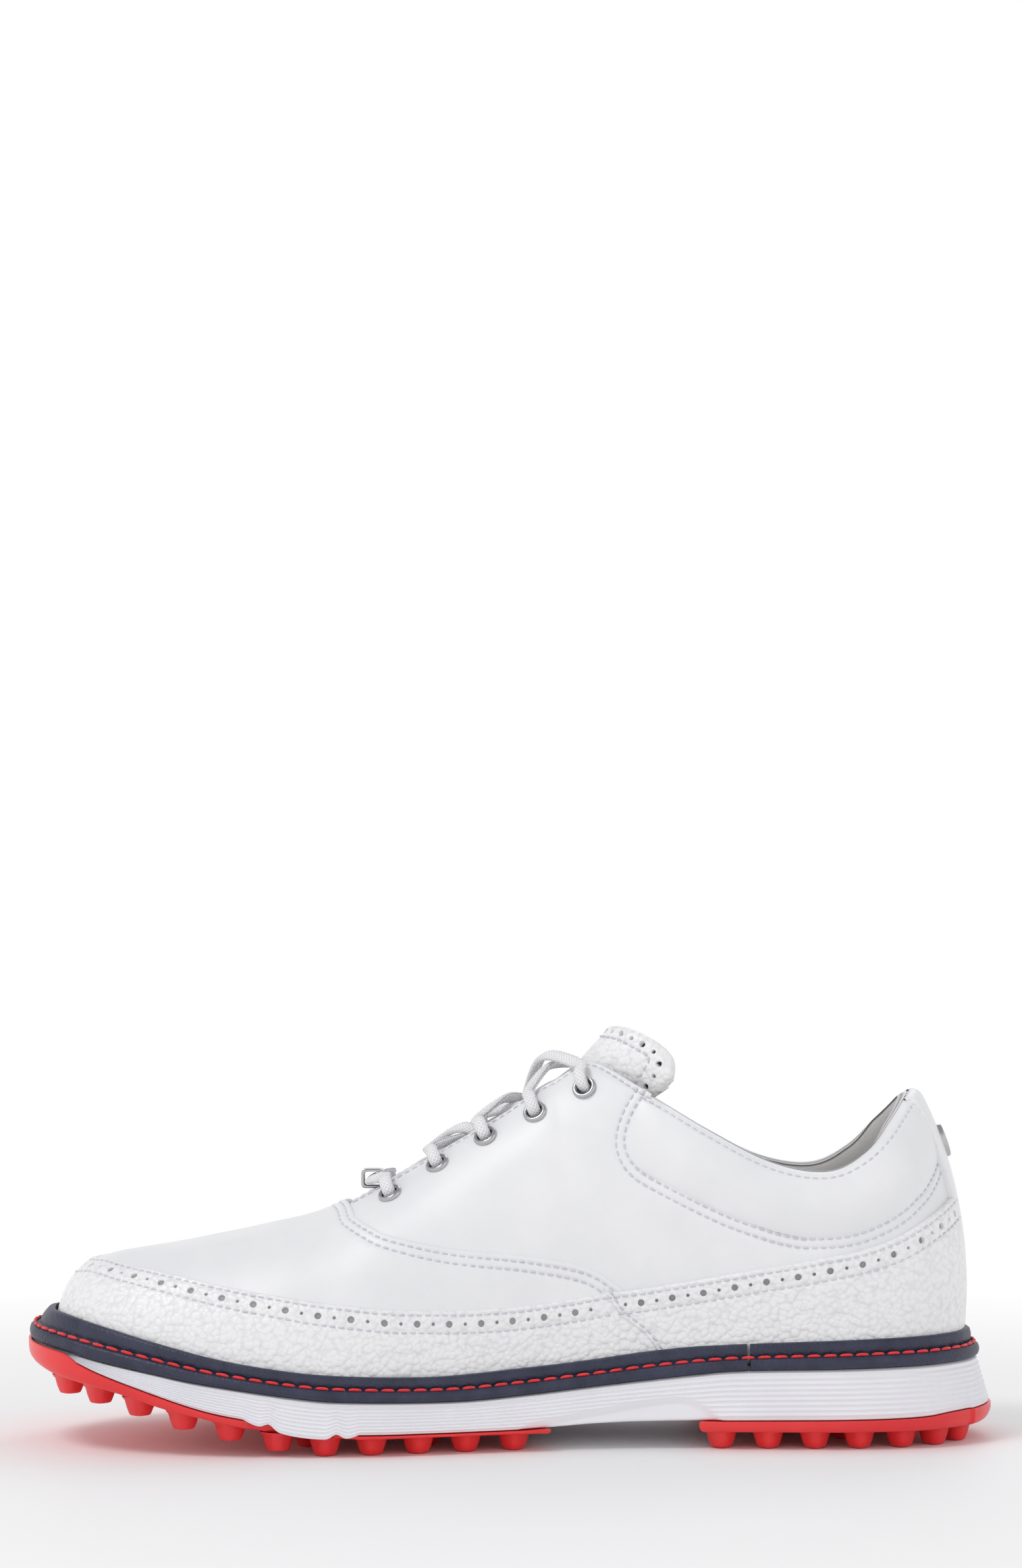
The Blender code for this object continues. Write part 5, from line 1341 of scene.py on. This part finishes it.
def build_keeper():
    """Rounded rectangular band of metal on the lowest bar of the lace."""
    angles = np.arange(64) * 2 * math.pi / 64
    end = KEEPER_HALF_LENGTH
    rings = []
    for reach, half_x, half_z in ((-end, 3.45, 2.85), (0.15 - end, 3.6, 3.0), (end - 0.15, 3.6, 3.0),
                                  (end, 3.45, 2.85), (end, 2.8, 2.3), (end - 0.2, 2.7, 2.2),
                                  (0.2 - end, 2.7, 2.2), (-end, 2.8, 2.3)):
        section = rounded_box(angles, half_x, half_z, 0.35)
        rings.append(np.insert(section, 1, reach, axis=1) + KEEPER_CENTRE)
    rings.append(rings[0])
    make_mesh("keeper_band", np.vstack(rings), strips(len(rings), 64, True), METAL,
              ("lace_keeper",), "keeper", sharp=50)


def build_stud():
    """Plain oval badge with a domed face inside a rim."""
    point, normal, _, _ = UPPER.frame(np.array([[LAST * A_SCALE, STUD_HEIGHT * B_SCALE]]))
    normal = unit(normal[0] * [1, 0, 1])
    outline = [(1.0, 2.9), (1.0, 4.1), (0.97, 4.5), (0.9, 4.65), (0.82, 4.5), (0.78, 4.25), (0.6, 4.4),
               (0.35, 4.6), (0.02, 4.7)]
    vertices = turned(outline, point[0], normal, STUD_HALF_WIDTH * SIDEWAYS,
                      STUD_HALF_LENGTH * np.cross(SIDEWAYS, normal), 56)
    make_mesh("heel_badge", vertices, strips(len(outline), 56, True), METAL, ("heel_stud",))


def finish_hidden_parts():
    """CAD nodes inside the shoe keep their shapes and take finer finishes."""
    finishes = {"bottom_filler": PADDING, "insole_board": BOARD, "shank": METAL, "toe_puff": BOARD,
                "heel_counter": BOARD, "vamp_lining": LINING, "aglet_lateral": METAL, "aglet_medial": METAL}
    for name, material in finishes.items():
        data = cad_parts[name].data
        data.materials.clear()
        data.materials.append(material)


make_camera()
make_studio()
build_lace()
build_vamp()
for shoe_side, side_label in SIDES.items():
    build_quarter(shoe_side, side_label)
    build_collar(shoe_side, side_label)
    build_lining(shoe_side, side_label)
build_mudguards()
build_back_strip()
build_upper_stitches()
build_tongue()
build_midsole()
build_welt()
build_plate("forefoot_plate_fine", "outsole_forefoot", 1, FOREFOOT_END, lug_places(*FOREFOOT_ROW))
build_plate("heel_plate_fine", "outsole_heel", -1, HEEL_START, lug_places(*HEEL_ROW))
build_sockliner()
for shoe_side, side_label in SIDES.items():
    build_eyelets(shoe_side, side_label)
build_keeper()
build_stud()
finish_hidden_parts()
